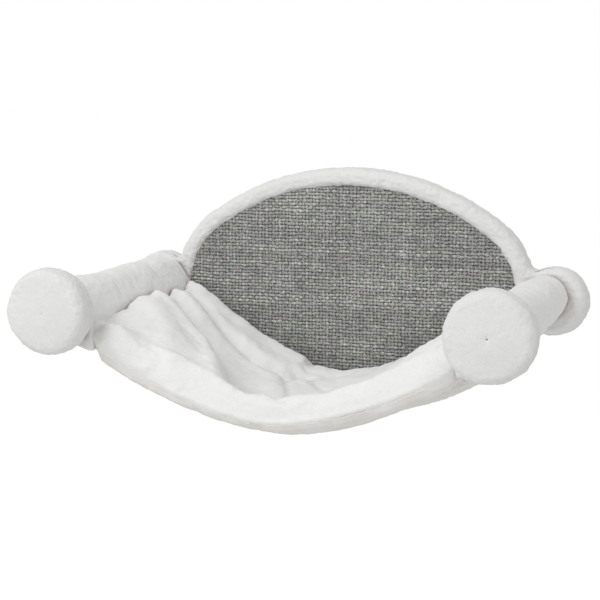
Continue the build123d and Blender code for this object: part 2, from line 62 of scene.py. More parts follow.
# Sizes that the pieces share, in millimetres. Depth counts from the wall. The board's outline, which no box
# gives, is an oval of four arcs with a lobe at each end.
layout = {
    "armX": (rightRod[1, 0] - leftRod[1, 0]) / 2,
    "armRise": leftRod[:, 2].mean(),
    "rodRadius": (rightRod[1, 0] + leftRod[1, 0]) / 2,
    "panelFront": -nodeBox("back_panel")[0, 1],
    "sisalFront": -nodeBox("sisal_mat")[0, 1],
    "boardDepth": -borderBox[0, 1],
    "sleeveBack": -sleeveBox[1, 1],
    "hammockLength": sleeveBox[1, 1] - sleeveBox[0, 1],
    "discBack": -coverBox[1, 1],
    "discFront": -coverBox[0, 1],
    "washerBack": -nodeBox("left_disc_washer")[1, 1],
    "boltFront": -nodeBox("left_disc_bolt")[0, 1],
    "matHalfWidth": nodeBox("hammock_mat")[1, 0],
    "ovalHalfWidth": 213.0,
    "ovalHalfHeight": 140.0,
    "ovalEndRadius": 105.0,
    "lobeRadius": 37.0,
    "neckBlend": 8.0,
    "borderWidth": 19.3,
}
layout["lobeX"] = borderBox[1, 0] - layout["lobeRadius"]

# Noise

# Large odd numbers that mix up a corner's place, and the bits that are kept of it.
noiseHash = {"axes": np.array([73856093, 19349663, 83492791]), "seed": 40503,
             "rounds": [(15, 739981), (13, 435179)], "bits": 0xFFFFFFFF}


def latticeNoise(points, size, seed):
    # Random numbers from -1 to 1 at the corners of cubic cells of the given size, and between them
    # s = t ** 3 * (t * (6 * t - 15) + 10).
    scaled = points / size
    cell = np.floor(scaled).astype(np.int64)
    part = scaled - cell
    part = part ** 3 * (part * (6 * part - 15) + 10)
    total = np.zeros(len(points))
    for corner in range(8):
        step = np.array([(corner >> axis) & 1 for axis in range(3)])
        key = (cell + step) * noiseHash["axes"]
        mixed = (key[:, 0] ^ key[:, 1] ^ key[:, 2] ^ (seed * noiseHash["seed"])) & noiseHash["bits"]
        for shift, factor in noiseHash["rounds"]:
            mixed = ((mixed ^ (mixed >> shift)) * factor) & noiseHash["bits"]
        value = ((mixed ^ (mixed >> 16)) & 0xFFFF) / 32768 - 1
        total += np.prod(np.where(step == 1, part, 1 - part), axis=1) * value
    return total


def lumpHeight(points, lumps, seed, seedStep=1):
    # Sum of height * noise over the lumps, which are pairs of size and height.
    return sum(height * latticeNoise(points, size, seed + place * seedStep)
               for place, (size, height) in enumerate(lumps))


# Curves and distances

def smoothTable(table, soft, steps=801):
    # A table of places and values as a function: straight runs, rounded by a cosine bell of the given width.
    places, values = np.array(table, float).T
    fine = np.linspace(places[0], places[-1], steps)
    straight = np.interp(fine, places, values)
    width = max(3, int(soft / (fine[1] - fine[0])) | 1)
    kernel = np.hanning(width + 2)[1:-1]
    padded = np.pad(straight, width // 2, mode="edge")
    rounded = np.convolve(padded, kernel / kernel.sum(), mode="valid")
    return lambda where: np.interp(where, fine, rounded)


def edgeRounding(gap, radius):
    # How far a rounded edge falls off at a distance from it: r - sqrt(r ** 2 - (r - gap) ** 2).
    left = np.clip(radius - gap, 0, radius)
    return radius - np.sqrt(radius ** 2 - left ** 2)


def distanceToLine(x, y, line):
    # Distance of each point from a line of straight runs, and how far along the line it is nearest, 0 to 1.
    line = np.array(line, float)
    lengths = np.linalg.norm(np.diff(line, axis=0), axis=1)
    starts = np.concatenate([[0], np.cumsum(lengths)])
    best = np.full(x.shape, np.inf)
    along = np.zeros(x.shape)
    for first, last, length, start in zip(line[:-1], line[1:], lengths, starts[:-1]):
        direction = (last - first) / length
        reach = np.clip((x - first[0]) * direction[0] + (y - first[1]) * direction[1], 0, length)
        gap = np.hypot(x - first[0] - reach * direction[0], y - first[1] - reach * direction[1])
        nearer = gap < best
        best = np.where(nearer, gap, best)
        along = np.where(nearer, (start + reach) / starts[-1], along)
    return best, along


# Meshes

def makePiece(name, points, quads, triangles=()):
    # A mesh object from points in millimetres and corner numbers, its faces outwards by its volume's sign.
    points = np.asarray(points, float).reshape(-1, 3) * millimetre
    quads = np.asarray(quads, np.int64).reshape(-1, 4)
    triangles = np.asarray(triangles, np.int64).reshape(-1, 3)
    halves = np.concatenate([quads[:, [0, 1, 2]], quads[:, [0, 2, 3]], triangles])
    a, b, c = points[halves[:, 0]], points[halves[:, 1]], points[halves[:, 2]]
    if (a * np.cross(b, c)).sum() < 0:
        quads, triangles = quads[:, ::-1], triangles[:, ::-1]
    mesh = bpy.data.meshes.new(name)
    corners = np.concatenate([quads.ravel(), triangles.ravel()]).astype(np.int32)
    totals = np.concatenate([np.full(len(quads), 4), np.full(len(triangles), 3)]).astype(np.int32)
    starts = np.concatenate([[0], np.cumsum(totals)[:-1]]).astype(np.int32)
    mesh.vertices.add(len(points))
    mesh.vertices.foreach_set("co", points.astype(np.float32).ravel())
    mesh.loops.add(len(corners))
    mesh.loops.foreach_set("vertex_index", corners)
    mesh.polygons.add(len(totals))
    mesh.polygons.foreach_set("loop_start", starts)
    mesh.polygons.foreach_set("loop_total", totals)
    mesh.update(calc_edges=True)
    mesh.validate()
    mesh.shade_smooth()
    piece = bpy.data.objects.new(name, mesh)
    scene.collection.objects.link(piece)
    return piece


def gridFaces(rows, columns, wrapRows=False, wrapColumns=False):
    # Corner numbers of the quads between neighbours of a grid, which may close on itself either way.
    r = np.arange(rows if wrapRows else rows - 1)
    c = np.arange(columns if wrapColumns else columns - 1)
    r, c = np.meshgrid(r, c, indexing="ij")
    rNext, cNext = (r + 1) % rows, (c + 1) % columns
    corners = [r * columns + c, rNext * columns + c, rNext * columns + cNext, r * columns + cNext]
    return np.stack(corners, axis=-1).reshape(-1, 4)


def ringPiece(name, grid, poles=False):
    # A grid of points, closed round its columns. Its rows close too, or with poles a fan to the mean point
    # closes the first row and the last.
    rows, columns = grid.shape[:2]
    points = grid.reshape(-1, 3)
    quads = gridFaces(rows, columns, wrapRows=not poles, wrapColumns=True)
    if not poles:
        return makePiece(name, points, quads)
    points = np.concatenate([points, grid[:1].mean(axis=1), grid[-1:].mean(axis=1)])
    column = np.arange(columns)
    after = (column + 1) % columns
    last = (rows - 1) * columns
    first = np.stack([np.full(columns, rows * columns), column, after], axis=1)
    final = np.stack([np.full(columns, rows * columns + 1), last + after, last + column], axis=1)
    return makePiece(name, points, quads, np.concatenate([first, final]))


def readMesh(mesh):
    # Points, in millimetres, and unit normals of a mesh.
    points = np.zeros(len(mesh.vertices) * 3, np.float32)
    normals = np.zeros(len(mesh.vertices) * 3, np.float32)
    mesh.vertices.foreach_get("co", points)
    mesh.vertex_normals.foreach_get("vector", normals)
    return points.reshape(-1, 3).astype(float) / millimetre, normals.reshape(-1, 3).astype(float)


def writeMesh(mesh, points):
    mesh.vertices.foreach_set("co", (points * millimetre).astype(np.float32).ravel())
    mesh.update()


def raisePile(piece, pile, seed):
    # Moves each point along its normal by the lumps' height there.
    points, normals = readMesh(piece.data)
    writeMesh(piece.data, points + normals * lumpHeight(points, pile, seed)[:, None])


def applyModifiers(piece):
    graph = bpy.context.evaluated_depsgraph_get()
    mesh = bpy.data.meshes.new_from_object(piece.evaluated_get(graph))
    piece.modifiers.clear()
    old, piece.data = piece.data, mesh
    bpy.data.meshes.remove(old)


def subdivide(piece, levels=1):
    modifier = piece.modifiers.new("finer", "SUBSURF")
    modifier.levels = modifier.render_levels = levels
    applyModifiers(piece)
    piece.data.shade_smooth()


def puffUp(piece, puff):
    # Cloth blown up from inside: even mesh, pressure, a little spare cloth for wrinkles, and a cap on each
    # move, a smaller one where the surface faces down.
    remesh = piece.modifiers.new("even", "REMESH")
    remesh.mode = "VOXEL"
    remesh.voxel_size = puff["voxel"] * millimetre
    applyModifiers(piece)
    before, normals = readMesh(piece.data)
    cloth = piece.modifiers.new("cloth", "CLOTH")
    cloth.settings.quality = puff["quality"]
    cloth.settings.mass = puff["mass"]
    cloth.settings.tension_stiffness = puff["stiffness"]
    cloth.settings.compression_stiffness = puff["stiffness"]
    cloth.settings.bending_stiffness = puff["bending"]
    cloth.settings.use_pressure = True
    cloth.settings.uniform_pressure_force = puff["pressure"]
    cloth.settings.shrink_min = -puff["spareCloth"]
    cloth.settings.effector_weights.gravity = 0
    cloth.point_cache.frame_start, cloth.point_cache.frame_end = 1, puff["frames"]
    for number in range(1, puff["frames"] + 1):
        scene.frame_set(number)
    graph = bpy.context.evaluated_depsgraph_get()
    after, _ = readMesh(piece.evaluated_get(graph).data)
    piece.modifiers.clear()
    scene.frame_set(1)
    move = after - before
    length = np.linalg.norm(move, axis=1, keepdims=True)
    level, steepness = puff["facesDown"]
    below = np.clip(level - steepness * normals[:, 2:], 0, 1)
    cap = puff["cap"] + (puff["capBelow"] - puff["cap"]) * below
    move *= np.minimum(1, cap / np.maximum(length, 1e-6))
    writeMesh(piece.data, before + move)


# Materials

def hexToLinear(code):
    # sRGB hex to linear: c / 12.92 below 0.04045, and ((c + 0.055) / 1.055) ** 2.4 above.
    values = [int(code[place:place + 2], 16) / 255 for place in (1, 3, 5)]
    return tuple(v / 12.92 if v <= 0.04045 else ((v + 0.055) / 1.055) ** 2.4 for v in values) + (1.0,)


def addNode(tree, kind, settings=None, **inputs):
    # A shader node with its settings. An input is named with _ for its spaces, or i and its number. It takes
    # a value, a node for that node's first output, or (node, output).
    node = tree.nodes.new("ShaderNode" + kind)
    for name, value in (settings or {}).items():
        setattr(node, name, value)
    for name, value in inputs.items():
        numbered = name[0] == "i" and name[1:].isdigit()
        socket = node.inputs[int(name[1:]) if numbered else name.replace("_", " ")]
        feed, output = value if isinstance(value, tuple) and len(value) == 2 else (value, 0)
        if isinstance(feed, bpy.types.Node):
            tree.links.new(feed.outputs[output], socket)
        else:
            socket.default_value = value
    return node


# Settings of nodes that many materials use.
add, multiply, multiplyAdd, maximum = [
    {"operation": operation} for operation in ("ADD", "MULTIPLY", "MULTIPLY_ADD", "MAXIMUM")]
clamped = {"use_clamp": True}
stain = {"data_type": "RGBA", "blend_type": "MULTIPLY"}         # one colour times another


def newMaterial(name):
    material = bpy.data.materials.new(name)
    material.use_nodes = True
    material.node_tree.nodes.clear()
    return material, material.node_tree


def coat(tree, look, height=None, **inputs):
    # The surface's shader, joined to the output. The look's bump follows the height, and its roughness counts
    # where the inputs name none.
    if height:
        inputs["Normal"] = addNode(tree, "Bump", Strength=look["bump"], Height=height,
                                   Distance=look["bumpDepth"] * millimetre)
    if "Roughness" not in inputs:
        inputs["Roughness"] = look["roughness"]
    shader = addNode(tree, "BsdfPrincipled", **inputs)
    addNode(tree, "OutputMaterial", Surface=shader)


def setRamp(node, stops):
    # Colour stops as (place, hex).
    ramp = node.color_ramp
    while len(ramp.elements) < len(stops):
        ramp.elements.new(0.5)
    for element, (place, code) in zip(ramp.elements, stops):
        element.position = place
        element.color = hexToLinear(code)


def perMetre(size):
    # Noise scale for lumps of the given size in millimetres.
    return 1 / (size * millimetre)


def wear(piece, material):
    piece.data.materials.clear()
    piece.data.materials.append(material)


# Short polyester plush, knitted and brushed up: matt, a soft rim of light, darker where the pile parts, and
# painted shade in its creases and hollows.
plushLook = {
    "pile": [(0.45, "#EAEAEA"), (0.85, "#F4F4F3")],     # from parted to full
    "warm": "#F9F9F8",
    "clump": 8.0,               # size of the pile's clumps
    "clumpShare": 0.6,
    "strand": 1.6,              # a real strand is 0.1 mm; drawn coarser so that it shows
    "drift": 45.0,              # size of the warmer stretches
    "bump": 0.3,
    "bumpDepth": 1.6,
    "roughness": 0.95,
    "specular": 0.1,
    "sheen": 0.25,
    "sheenRoughness": 0.6,
    "crease": "#D5CAC2",        # painted shade: the tint laid over creases and hollows
    "paintedShadeReach": 26.0,
    "paintedShadeOpen": (0.15, 0.75),     # how open the surface is where the painted shade is darkest, and where it ends
}


def plush(name, look, shadeTint):
    # Height of the pile: clumpShare * clump noise + strand noise. It gives the shade and the bump.
    material, tree = newMaterial(name)
    at = (addNode(tree, "TexCoord"), "Object")
    clump = addNode(tree, "TexNoise", Vector=at, Scale=perMetre(look["clump"]), Detail=4.0, Roughness=0.6)
    strand = addNode(tree, "TexNoise", Vector=at, Scale=perMetre(look["strand"]), Detail=2.0, Roughness=0.7)
    drift = addNode(tree, "TexNoise", Vector=at, Scale=perMetre(look["drift"]), Detail=2.0)
    height = addNode(tree, "Math", multiplyAdd, i0=clump, i1=look["clumpShare"], i2=strand)
    shade = addNode(tree, "ValToRGB", Fac=height)
    setRamp(shade, look["pile"])
    tone = addNode(tree, "Mix", stain, i0=drift, i6=shade, i7=hexToLinear(look["warm"]))
    # The tint multiplies the colour: below white it paints the piece darker, as shade.
    withShadeTint = addNode(tree, "Mix", stain, i0=1.0, i6=(tone, 2), i7=hexToLinear(shadeTint))
    # Painted shade: the ambient occlusion mixes the crease tint into the colour in creases and hollows.
    opened = addNode(tree, "AmbientOcclusion", {"samples": 6}, Distance=look["paintedShadeReach"] * millimetre)
    crease = addNode(tree, "MapRange", Value=(opened, "AO"), From_Min=look["paintedShadeOpen"][0],
                     From_Max=look["paintedShadeOpen"][1], To_Min=1.0, To_Max=0.0)
    withPaintedShade = addNode(tree, "Mix", stain, i0=crease, i6=(withShadeTint, 2), i7=hexToLinear(look["crease"]))
    coat(tree, look, height, Base_Color=(withPaintedShade, 2), Specular_IOR_Level=look["specular"],
         Sheen_Weight=look["sheen"], Sheen_Roughness=look["sheenRoughness"])
    return material


whitePlush = plush("whitePlush", plushLook, "#FFFFFF")
# Painted shade: the same white plush, about 4% darker, for the discs and the border.
greyerPlush = plush("whitePlushOfDiscsAndBorder", plushLook, "#F5F5F5")
# The mat's painted shade reaches further and is darker, which deepens its hollows.
matPlush = plush("whitePlushOfMat", {**plushLook, "paintedShadeReach": 60.0, "crease": "#C8C1BC"}, "#FFFFFF")
print("materials: plush")


# Padded border of the board

borderForm = {
    "outerRound": 9.0,
    "lipRound": 6.0,
    "puff": 1.2,
    "puffWidth": 9.0,       # over which it rises, from each edge
    "armPull": 1.6,         # how far the cover is pulled in round an arm, and over what width
    "armPullWidth": 5.0,
    "cloth": 2.5,
    # the cover from its turned-in rim over the back and up the side: how far in from the outline, and depth
    "turnedIn": [(14.0, 2.5), (14.4, 1.25), (14.0, 0.4), (10.5, 0.2), (7.0, 0.2), (3.5, 0.15), (1.6, 0.3),
                 (0.6, 1.0), (0.1, 2.2), (-0.3, 5.0), (-0.6, 8.5), (-0.6, 12.0), (-0.3, 15.5)],
    "footGap": 0.2,
    "hiddenDepth": 3.0,
    "around": 940,
    "fewestOnArc": 6,
    "across": 38,
    "evenShare": 0.5,       # of the spacing across; the rest is drawn to the edges
    "innerSplit": 0.75,     # of the end arc's angle: beyond it the inner edge goes with the lobe
    "pile": [(22.0, 0.6), (6.0, 0.5), (3.0, 0.6)],
    "seed": 11,
}


def ovalArcs():
    # The four-arc oval: x of the end arcs' centre, drop and radius of the long arcs, angle where they join.
    endX = layout["ovalHalfWidth"] - layout["ovalEndRadius"]
    flat = layout["ovalHalfHeight"] - layout["ovalEndRadius"]
    drop = (endX ** 2 - flat ** 2) / (2 * flat)
    return endX, drop, layout["ovalHalfHeight"] + drop, math.atan2(drop, endX)


def boardOutlines(form):
    # Matching points of the board's outer edge and the border's inner edge: a quarter of arcs, then mirrored.
    endX, drop, longRadius, joinAngle = ovalArcs()
    lobeX, lobeRadius, blend = layout["lobeX"], layout["lobeRadius"], layout["neckBlend"]
    endRadius, width = layout["ovalEndRadius"], layout["borderWidth"]
    # The neck's arc touches the end arc and the lobe, so its centre is the radii's sums away from theirs.
    apart = lobeX - endX
    reachEnd, reachLobe = endRadius + blend, lobeRadius + blend
    along = (apart ** 2 + reachEnd ** 2 - reachLobe ** 2) / (2 * apart)
    rise = math.sqrt(reachEnd ** 2 - along ** 2)
    endAngle = math.atan2(rise, along)
    lobeAngle = math.atan2(rise, endX + along - lobeX)
    split = endAngle * form["innerSplit"]
    top = math.pi / 2
    # Centre x and z, radius, first and last angle; then the same for the inner edge.
    arcs = [
        ((0, -drop, longRadius, top, joinAngle), (0, -drop, longRadius - width, top, joinAngle)),
        ((endX, 0, endRadius, joinAngle, endAngle), (endX, 0, endRadius - width, joinAngle, endAngle)),
        ((endX + along, rise, blend, endAngle - math.pi, lobeAngle - math.pi),
         (endX, 0, endRadius - width, endAngle, split)),
        ((lobeX, 0, lobeRadius, lobeAngle, 0), (endX, 0, endRadius - width, split, 0)),
    ]
    lengths = np.array([abs(outer[2] * (outer[4] - outer[3])) for outer, inner in arcs])
    counts = np.round(lengths / lengths.sum() * form["around"] / 4).astype(int)
    counts = np.maximum(form["fewestOnArc"], counts)
    outlines = []
    for which in (0, 1):
        points = []
        for arc, number in zip(arcs, counts):
            x, z, radius, first, last = arc[which]
            angle = np.linspace(first, last, number, endpoint=False)
            points.append(np.stack([x + radius * np.cos(angle), z + radius * np.sin(angle)], axis=1))
        points = np.concatenate([*points, [[x + radius, z]]])
        right = np.concatenate([points, points[-2::-1] * [1, -1]])
        outlines.append(np.concatenate([right, right[-2:0:-1] * [-1, 1]]))
    return outlines


def distanceToOutline(points, outline):
    # Distance of each point from the nearest point of an outline, a column at a time.
    columns = np.swapaxes(points, 0, 1)
    return np.stack([
        np.sqrt(((column[:, None] - outline[None]) ** 2).sum(axis=2)).min(axis=1) for column in columns
    ], axis=1)


def makeBorder(form):
    # Face between the two outlines: depth = board's depth - rounding of each edge + puff * sin(90 degrees *
    # share of the puff's width), less the pull round the arms. The back is the turned-in cover.
    outer, inner = boardOutlines(form)
    inward = np.roll(outer, -1, axis=0) - np.roll(outer, 1, axis=0)
    inward = np.stack([inward[:, 1], -inward[:, 0]], axis=1)
    inward /= np.linalg.norm(inward, axis=1, keepdims=True)
    share = (1 - np.cos(np.linspace(0, math.pi, form["across"]))) / 2
    share = (1 - form["evenShare"]) * share + form["evenShare"] * np.linspace(0, 1, form["across"])
    face = outer[:, None] + (inner - outer)[:, None] * share[None, :, None]
    fromOuter, fromInner = distanceToOutline(face, outer), distanceToOutline(face, inner)
    fromOuter[:, 0], fromInner[:, -1] = 0, 0
    depth = layout["boardDepth"] - edgeRounding(fromOuter, form["outerRound"])
    depth -= edgeRounding(fromInner, form["lipRound"])
    middle = np.clip(fromOuter / form["puffWidth"], 0, 1) * np.clip(fromInner / form["puffWidth"], 0, 1)
    depth += form["puff"] * np.sin(middle * math.pi / 2)
    for side in (-1, 1):
        fromArm = np.hypot(face[..., 0] - side * layout["armX"], face[..., 1] - layout["armRise"])
        depth -= form["armPull"] * np.exp(-((fromArm - layout["rodRadius"]) / form["armPullWidth"]) ** 2)
    front = np.stack([face[..., 0], -depth, face[..., 1]], axis=-1)

    def ring(inset, level):
        # The outer outline set in by a distance, at a depth from the wall.
        at = outer + inward * inset
        return np.stack([at[:, 0], np.full(len(at), -level), at[:, 1]], axis=1)

    foot = np.full(len(inner), -layout["panelFront"] - form["footGap"])
    rings = [ring(*place) for place in form["turnedIn"]]
    rings += [front[:, column] for column in range(form["across"])]
    rings.append(np.stack([inner[:, 0], foot, inner[:, 1]], axis=1))
    rings += [ring(form["cloth"], layout["panelFront"]), ring(form["cloth"], form["hiddenDepth"])]
    piece = ringPiece("plushBorder", np.stack(rings, axis=1))
    raisePile(piece, form["pile"], form["seed"])
    wear(piece, greyerPlush)
    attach(piece, "wall_board")
    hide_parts("border_plush", "border_padding")
    return piece


plushBorder = makeBorder(borderForm)
print("border:", len(plushBorder.data.vertices), "points")


# Woven sisal face

weaveForm = {
    "pitchAcross": 4.1,     # between warp threads
    "pitchUp": 3.8,         # between weft threads
    "samples": 4,           # per pitch
    "underLip": 2.2,        # how far it runs under the border
    "tipGap": 0.01,         # keeps the oval's tips wider than a point
    "relief": 0.6,
    "sunk": 0.3,            # the threads' middle behind the CAD's face
    "backing": 3.1,         # its back in front of the panel
    "edgeRound": 1.6,
    "wander": 0.6,          # how far the threads stray, and for each way the size and seed of the noise
    "wanderNoise": [(34.0, 21), (27.0, 22)],
    "interlace": 0.5,       # how far a thread dips under and rises over the others
    "warpShare": 0.8,       # how high the warp stands beside the weft
}


def halfWidthAt(z, inset):
    # Half width of the inset oval at each height: on the end arc in the middle, on the long arc beyond it.
    endX, drop, longRadius, joinAngle = ovalArcs()
    endRadius = layout["ovalEndRadius"] - inset
    onEnd = endX + np.sqrt(np.clip(endRadius ** 2 - z ** 2, 0, None))
    onLong = np.sqrt(np.clip((longRadius - inset) ** 2 - (np.abs(z) + drop) ** 2, 0, None))
    return np.where(np.abs(z) < endRadius * math.sin(joinAngle), onEnd, onLong)


def threadTops(across, up, form):
    # Plain weave: sqrt(1 - (2 * off) ** 2) over each thread, plus interlace * cos(pi * across) * cos(pi * up)
    # for the weft and minus it for the warp. The higher of the two shows.
    over = form["interlace"] * np.cos(math.pi * across) * np.cos(math.pi * up)
    weft = np.sqrt(np.clip(1 - (2 * (up - np.round(up))) ** 2, 0, 1))
    warp = form["warpShare"] * np.sqrt(np.clip(1 - (2 * (across - np.round(across))) ** 2, 0, 1))
    return np.maximum(weft + over, warp - over)


def joinDoubles(points, quads):
    # Points that lie together become one; a quad with two corners in one point becomes a triangle.
    flat = np.round(points[:, [0, 2]], 3)
    _, kept, number = np.unique(flat, axis=0, return_index=True, return_inverse=True)
    quads = number.reshape(-1)[quads]
    same = quads == np.roll(quads, -1, axis=1)
    doubles = same.sum(axis=1)
    folded = np.flatnonzero(doubles == 1)
    first = np.argmax(same[folded], axis=1)[:, None]
    triangles = quads[folded[:, None], (first + np.array([1, 2, 3])) % 4]
    slivers = (triangles == np.roll(triangles, -1, axis=1)).any(axis=1)
    return kept, quads[doubles == 0], triangles[~slivers]


def closeBehind(points, quads, triangles, depth):
    # A wall from the rim, which is every edge with one face, straight back to a depth, and a fan behind it.
    edges = np.concatenate([quads[:, [0, 1]], quads[:, [1, 2]], quads[:, [2, 3]], quads[:, [3, 0]],
                            triangles[:, [0, 1]], triangles[:, [1, 2]], triangles[:, [2, 0]]])
    _, first, uses = np.unique(np.sort(edges, axis=1), axis=0, return_index=True, return_counts=True)
    rim = edges[first[uses == 1]]
    ringPoints, ringNumber = np.unique(rim, return_inverse=True)
    ringNumber = ringNumber.reshape(rim.shape) + len(points)
    middle = np.full(len(rim), len(points) + len(ringPoints))
    behind = points[ringPoints] * [1, 0, 1] - [0, depth, 0]
    walls = np.stack([rim[:, 1], rim[:, 0], ringNumber[:, 0], ringNumber[:, 1]], axis=1)
    fan = np.stack([ringNumber[:, 1], ringNumber[:, 0], middle], axis=1)
    points = np.concatenate([points, behind, [[0, -depth, 0]]])
    return points, np.concatenate([quads, walls]), np.concatenate([triangles, fan])


def makeWeave(form):
    # Depth = CAD's face - sunk + relief * threads' tops - rounding of the edge.
    inset = layout["borderWidth"] - form["underLip"]
    halfWidth, halfHeight = layout["ovalHalfWidth"] - inset, layout["ovalHalfHeight"] - inset
    stepX, stepZ = form["pitchAcross"] / form["samples"], form["pitchUp"] / form["samples"]
    rows, columns = int(2 * halfHeight / stepZ) | 1, int(2 * halfWidth / stepX) | 1
    z = (halfHeight - form["tipGap"]) * np.linspace(-1, 1, rows)
    half = halfWidthAt(z, inset)[:, None]
    x, z = np.meshgrid(np.linspace(-1, 1, columns) * halfWidth, z)
    x = np.clip(x, -half, half)     # points beyond the oval's edge are drawn in to it
    flat = np.stack([x.ravel(), np.zeros(x.size), z.ravel()], axis=1)
    strayX, strayZ = [form["wander"] * latticeNoise(flat, size, seed).reshape(x.shape)
                      for size, seed in form["wanderNoise"]]
    across, up = (x + strayX) / form["pitchAcross"], (z + strayZ) / form["pitchUp"]
    fromEdge = np.minimum(half - np.abs(x), halfHeight - np.abs(z))
    depth = layout["sisalFront"] - form["sunk"] + form["relief"] * threadTops(across, up, form)
    depth -= edgeRounding(fromEdge, form["edgeRound"])
    points = np.stack([x, -depth, z], axis=-1).reshape(-1, 3)
    kept, quads, triangles = joinDoubles(points, gridFaces(rows, columns))
    back = layout["panelFront"] + form["backing"]
    points, quads, triangles = closeBehind(points[kept], quads, triangles, back)
    piece = makePiece("sisalWeave", points, quads, triangles)
    # What the material reads: the threads counted across and up, whole in the middle of each thread.
    behind = np.zeros(len(points) - len(kept))
    for name, values in (("threadsAcross", across), ("threadsUp", up)):
        attribute = piece.data.attributes.new(name, "FLOAT", "POINT")
        counted = np.concatenate([values.ravel()[kept], behind])
        attribute.data.foreach_set("value", counted.astype(np.float32))
    return piece


sisalWeave = makeWeave(weaveForm)
print("weave:", len(sisalWeave.data.vertices), "points")


# Twisted sisal yarn, dyed grey: dry and matt, each yarn its own tone, dark between the yarns, where the
# backing's colour and painted shade are laid.
sisalLook = {
    "yarns": [(0.0, "#727373"), (0.35, "#969794"), (0.68, "#B3B4B1"), (1.0, "#DFE0DC")],
    # the dark between the threads: partly the backing's colour, partly painted shade
    "gap": "#303131",
    "tints": [(0.38, "#F8FAF7"), (0.62, "#FBF7F8")],
    "tintSize": 9.2,
    # what counts the threads, how high they rise, how freely they stray and by which noise, first number
    "weft": ("threadsUp", 1.0, 1.0, "Red", 3.5),
    "warp": ("threadsAcross", 0.74, 1.35, "Green", 507.5),
    "roundness": 4.6,       # how soon a thread's side falls away
    "interlace": 0.5,
    "warpTone": -0.1,       # warp beside weft
    "everyOther": 0.09,     # every other weft thread is paler
    "wander": (6.5, 0.75),  # how a thread strays from its place: over what length, in threads
    "loose": 0.9,           # how unevenly the yarns cover the dark gap between them
    "cover": (0.45, 1.0),   # heights at which the dark gap, backing colour and painted shade, is all that shows, and a thread is
    "ownShare": 0.26,       # how much each thread has a tone of its own
    "fleck": 2.3,           # size of the tufts of paler fibre
    "slub": (11.0, 3.0),    # paler and darker stretches along a weft thread, length and height
    "slubShare": 0.5,
    "spread": (0.52, 0.98, -0.36, 0.5),     # from slub and fleck to tone
    "patch": 38.0,          # size of the worn and dusty areas
    "faded": (0.3, 0.7, 0.28, 0.44),        # from patch to tone
    "fibre": 0.45,          # sisal fibre is 0.2 mm; drawn coarser so that it shows
    "fibreShare": 0.5,
    "bump": 0.8,
    "bumpDepth": 0.5,
    "roughness": 0.9,
    "specular": 0.2,
}


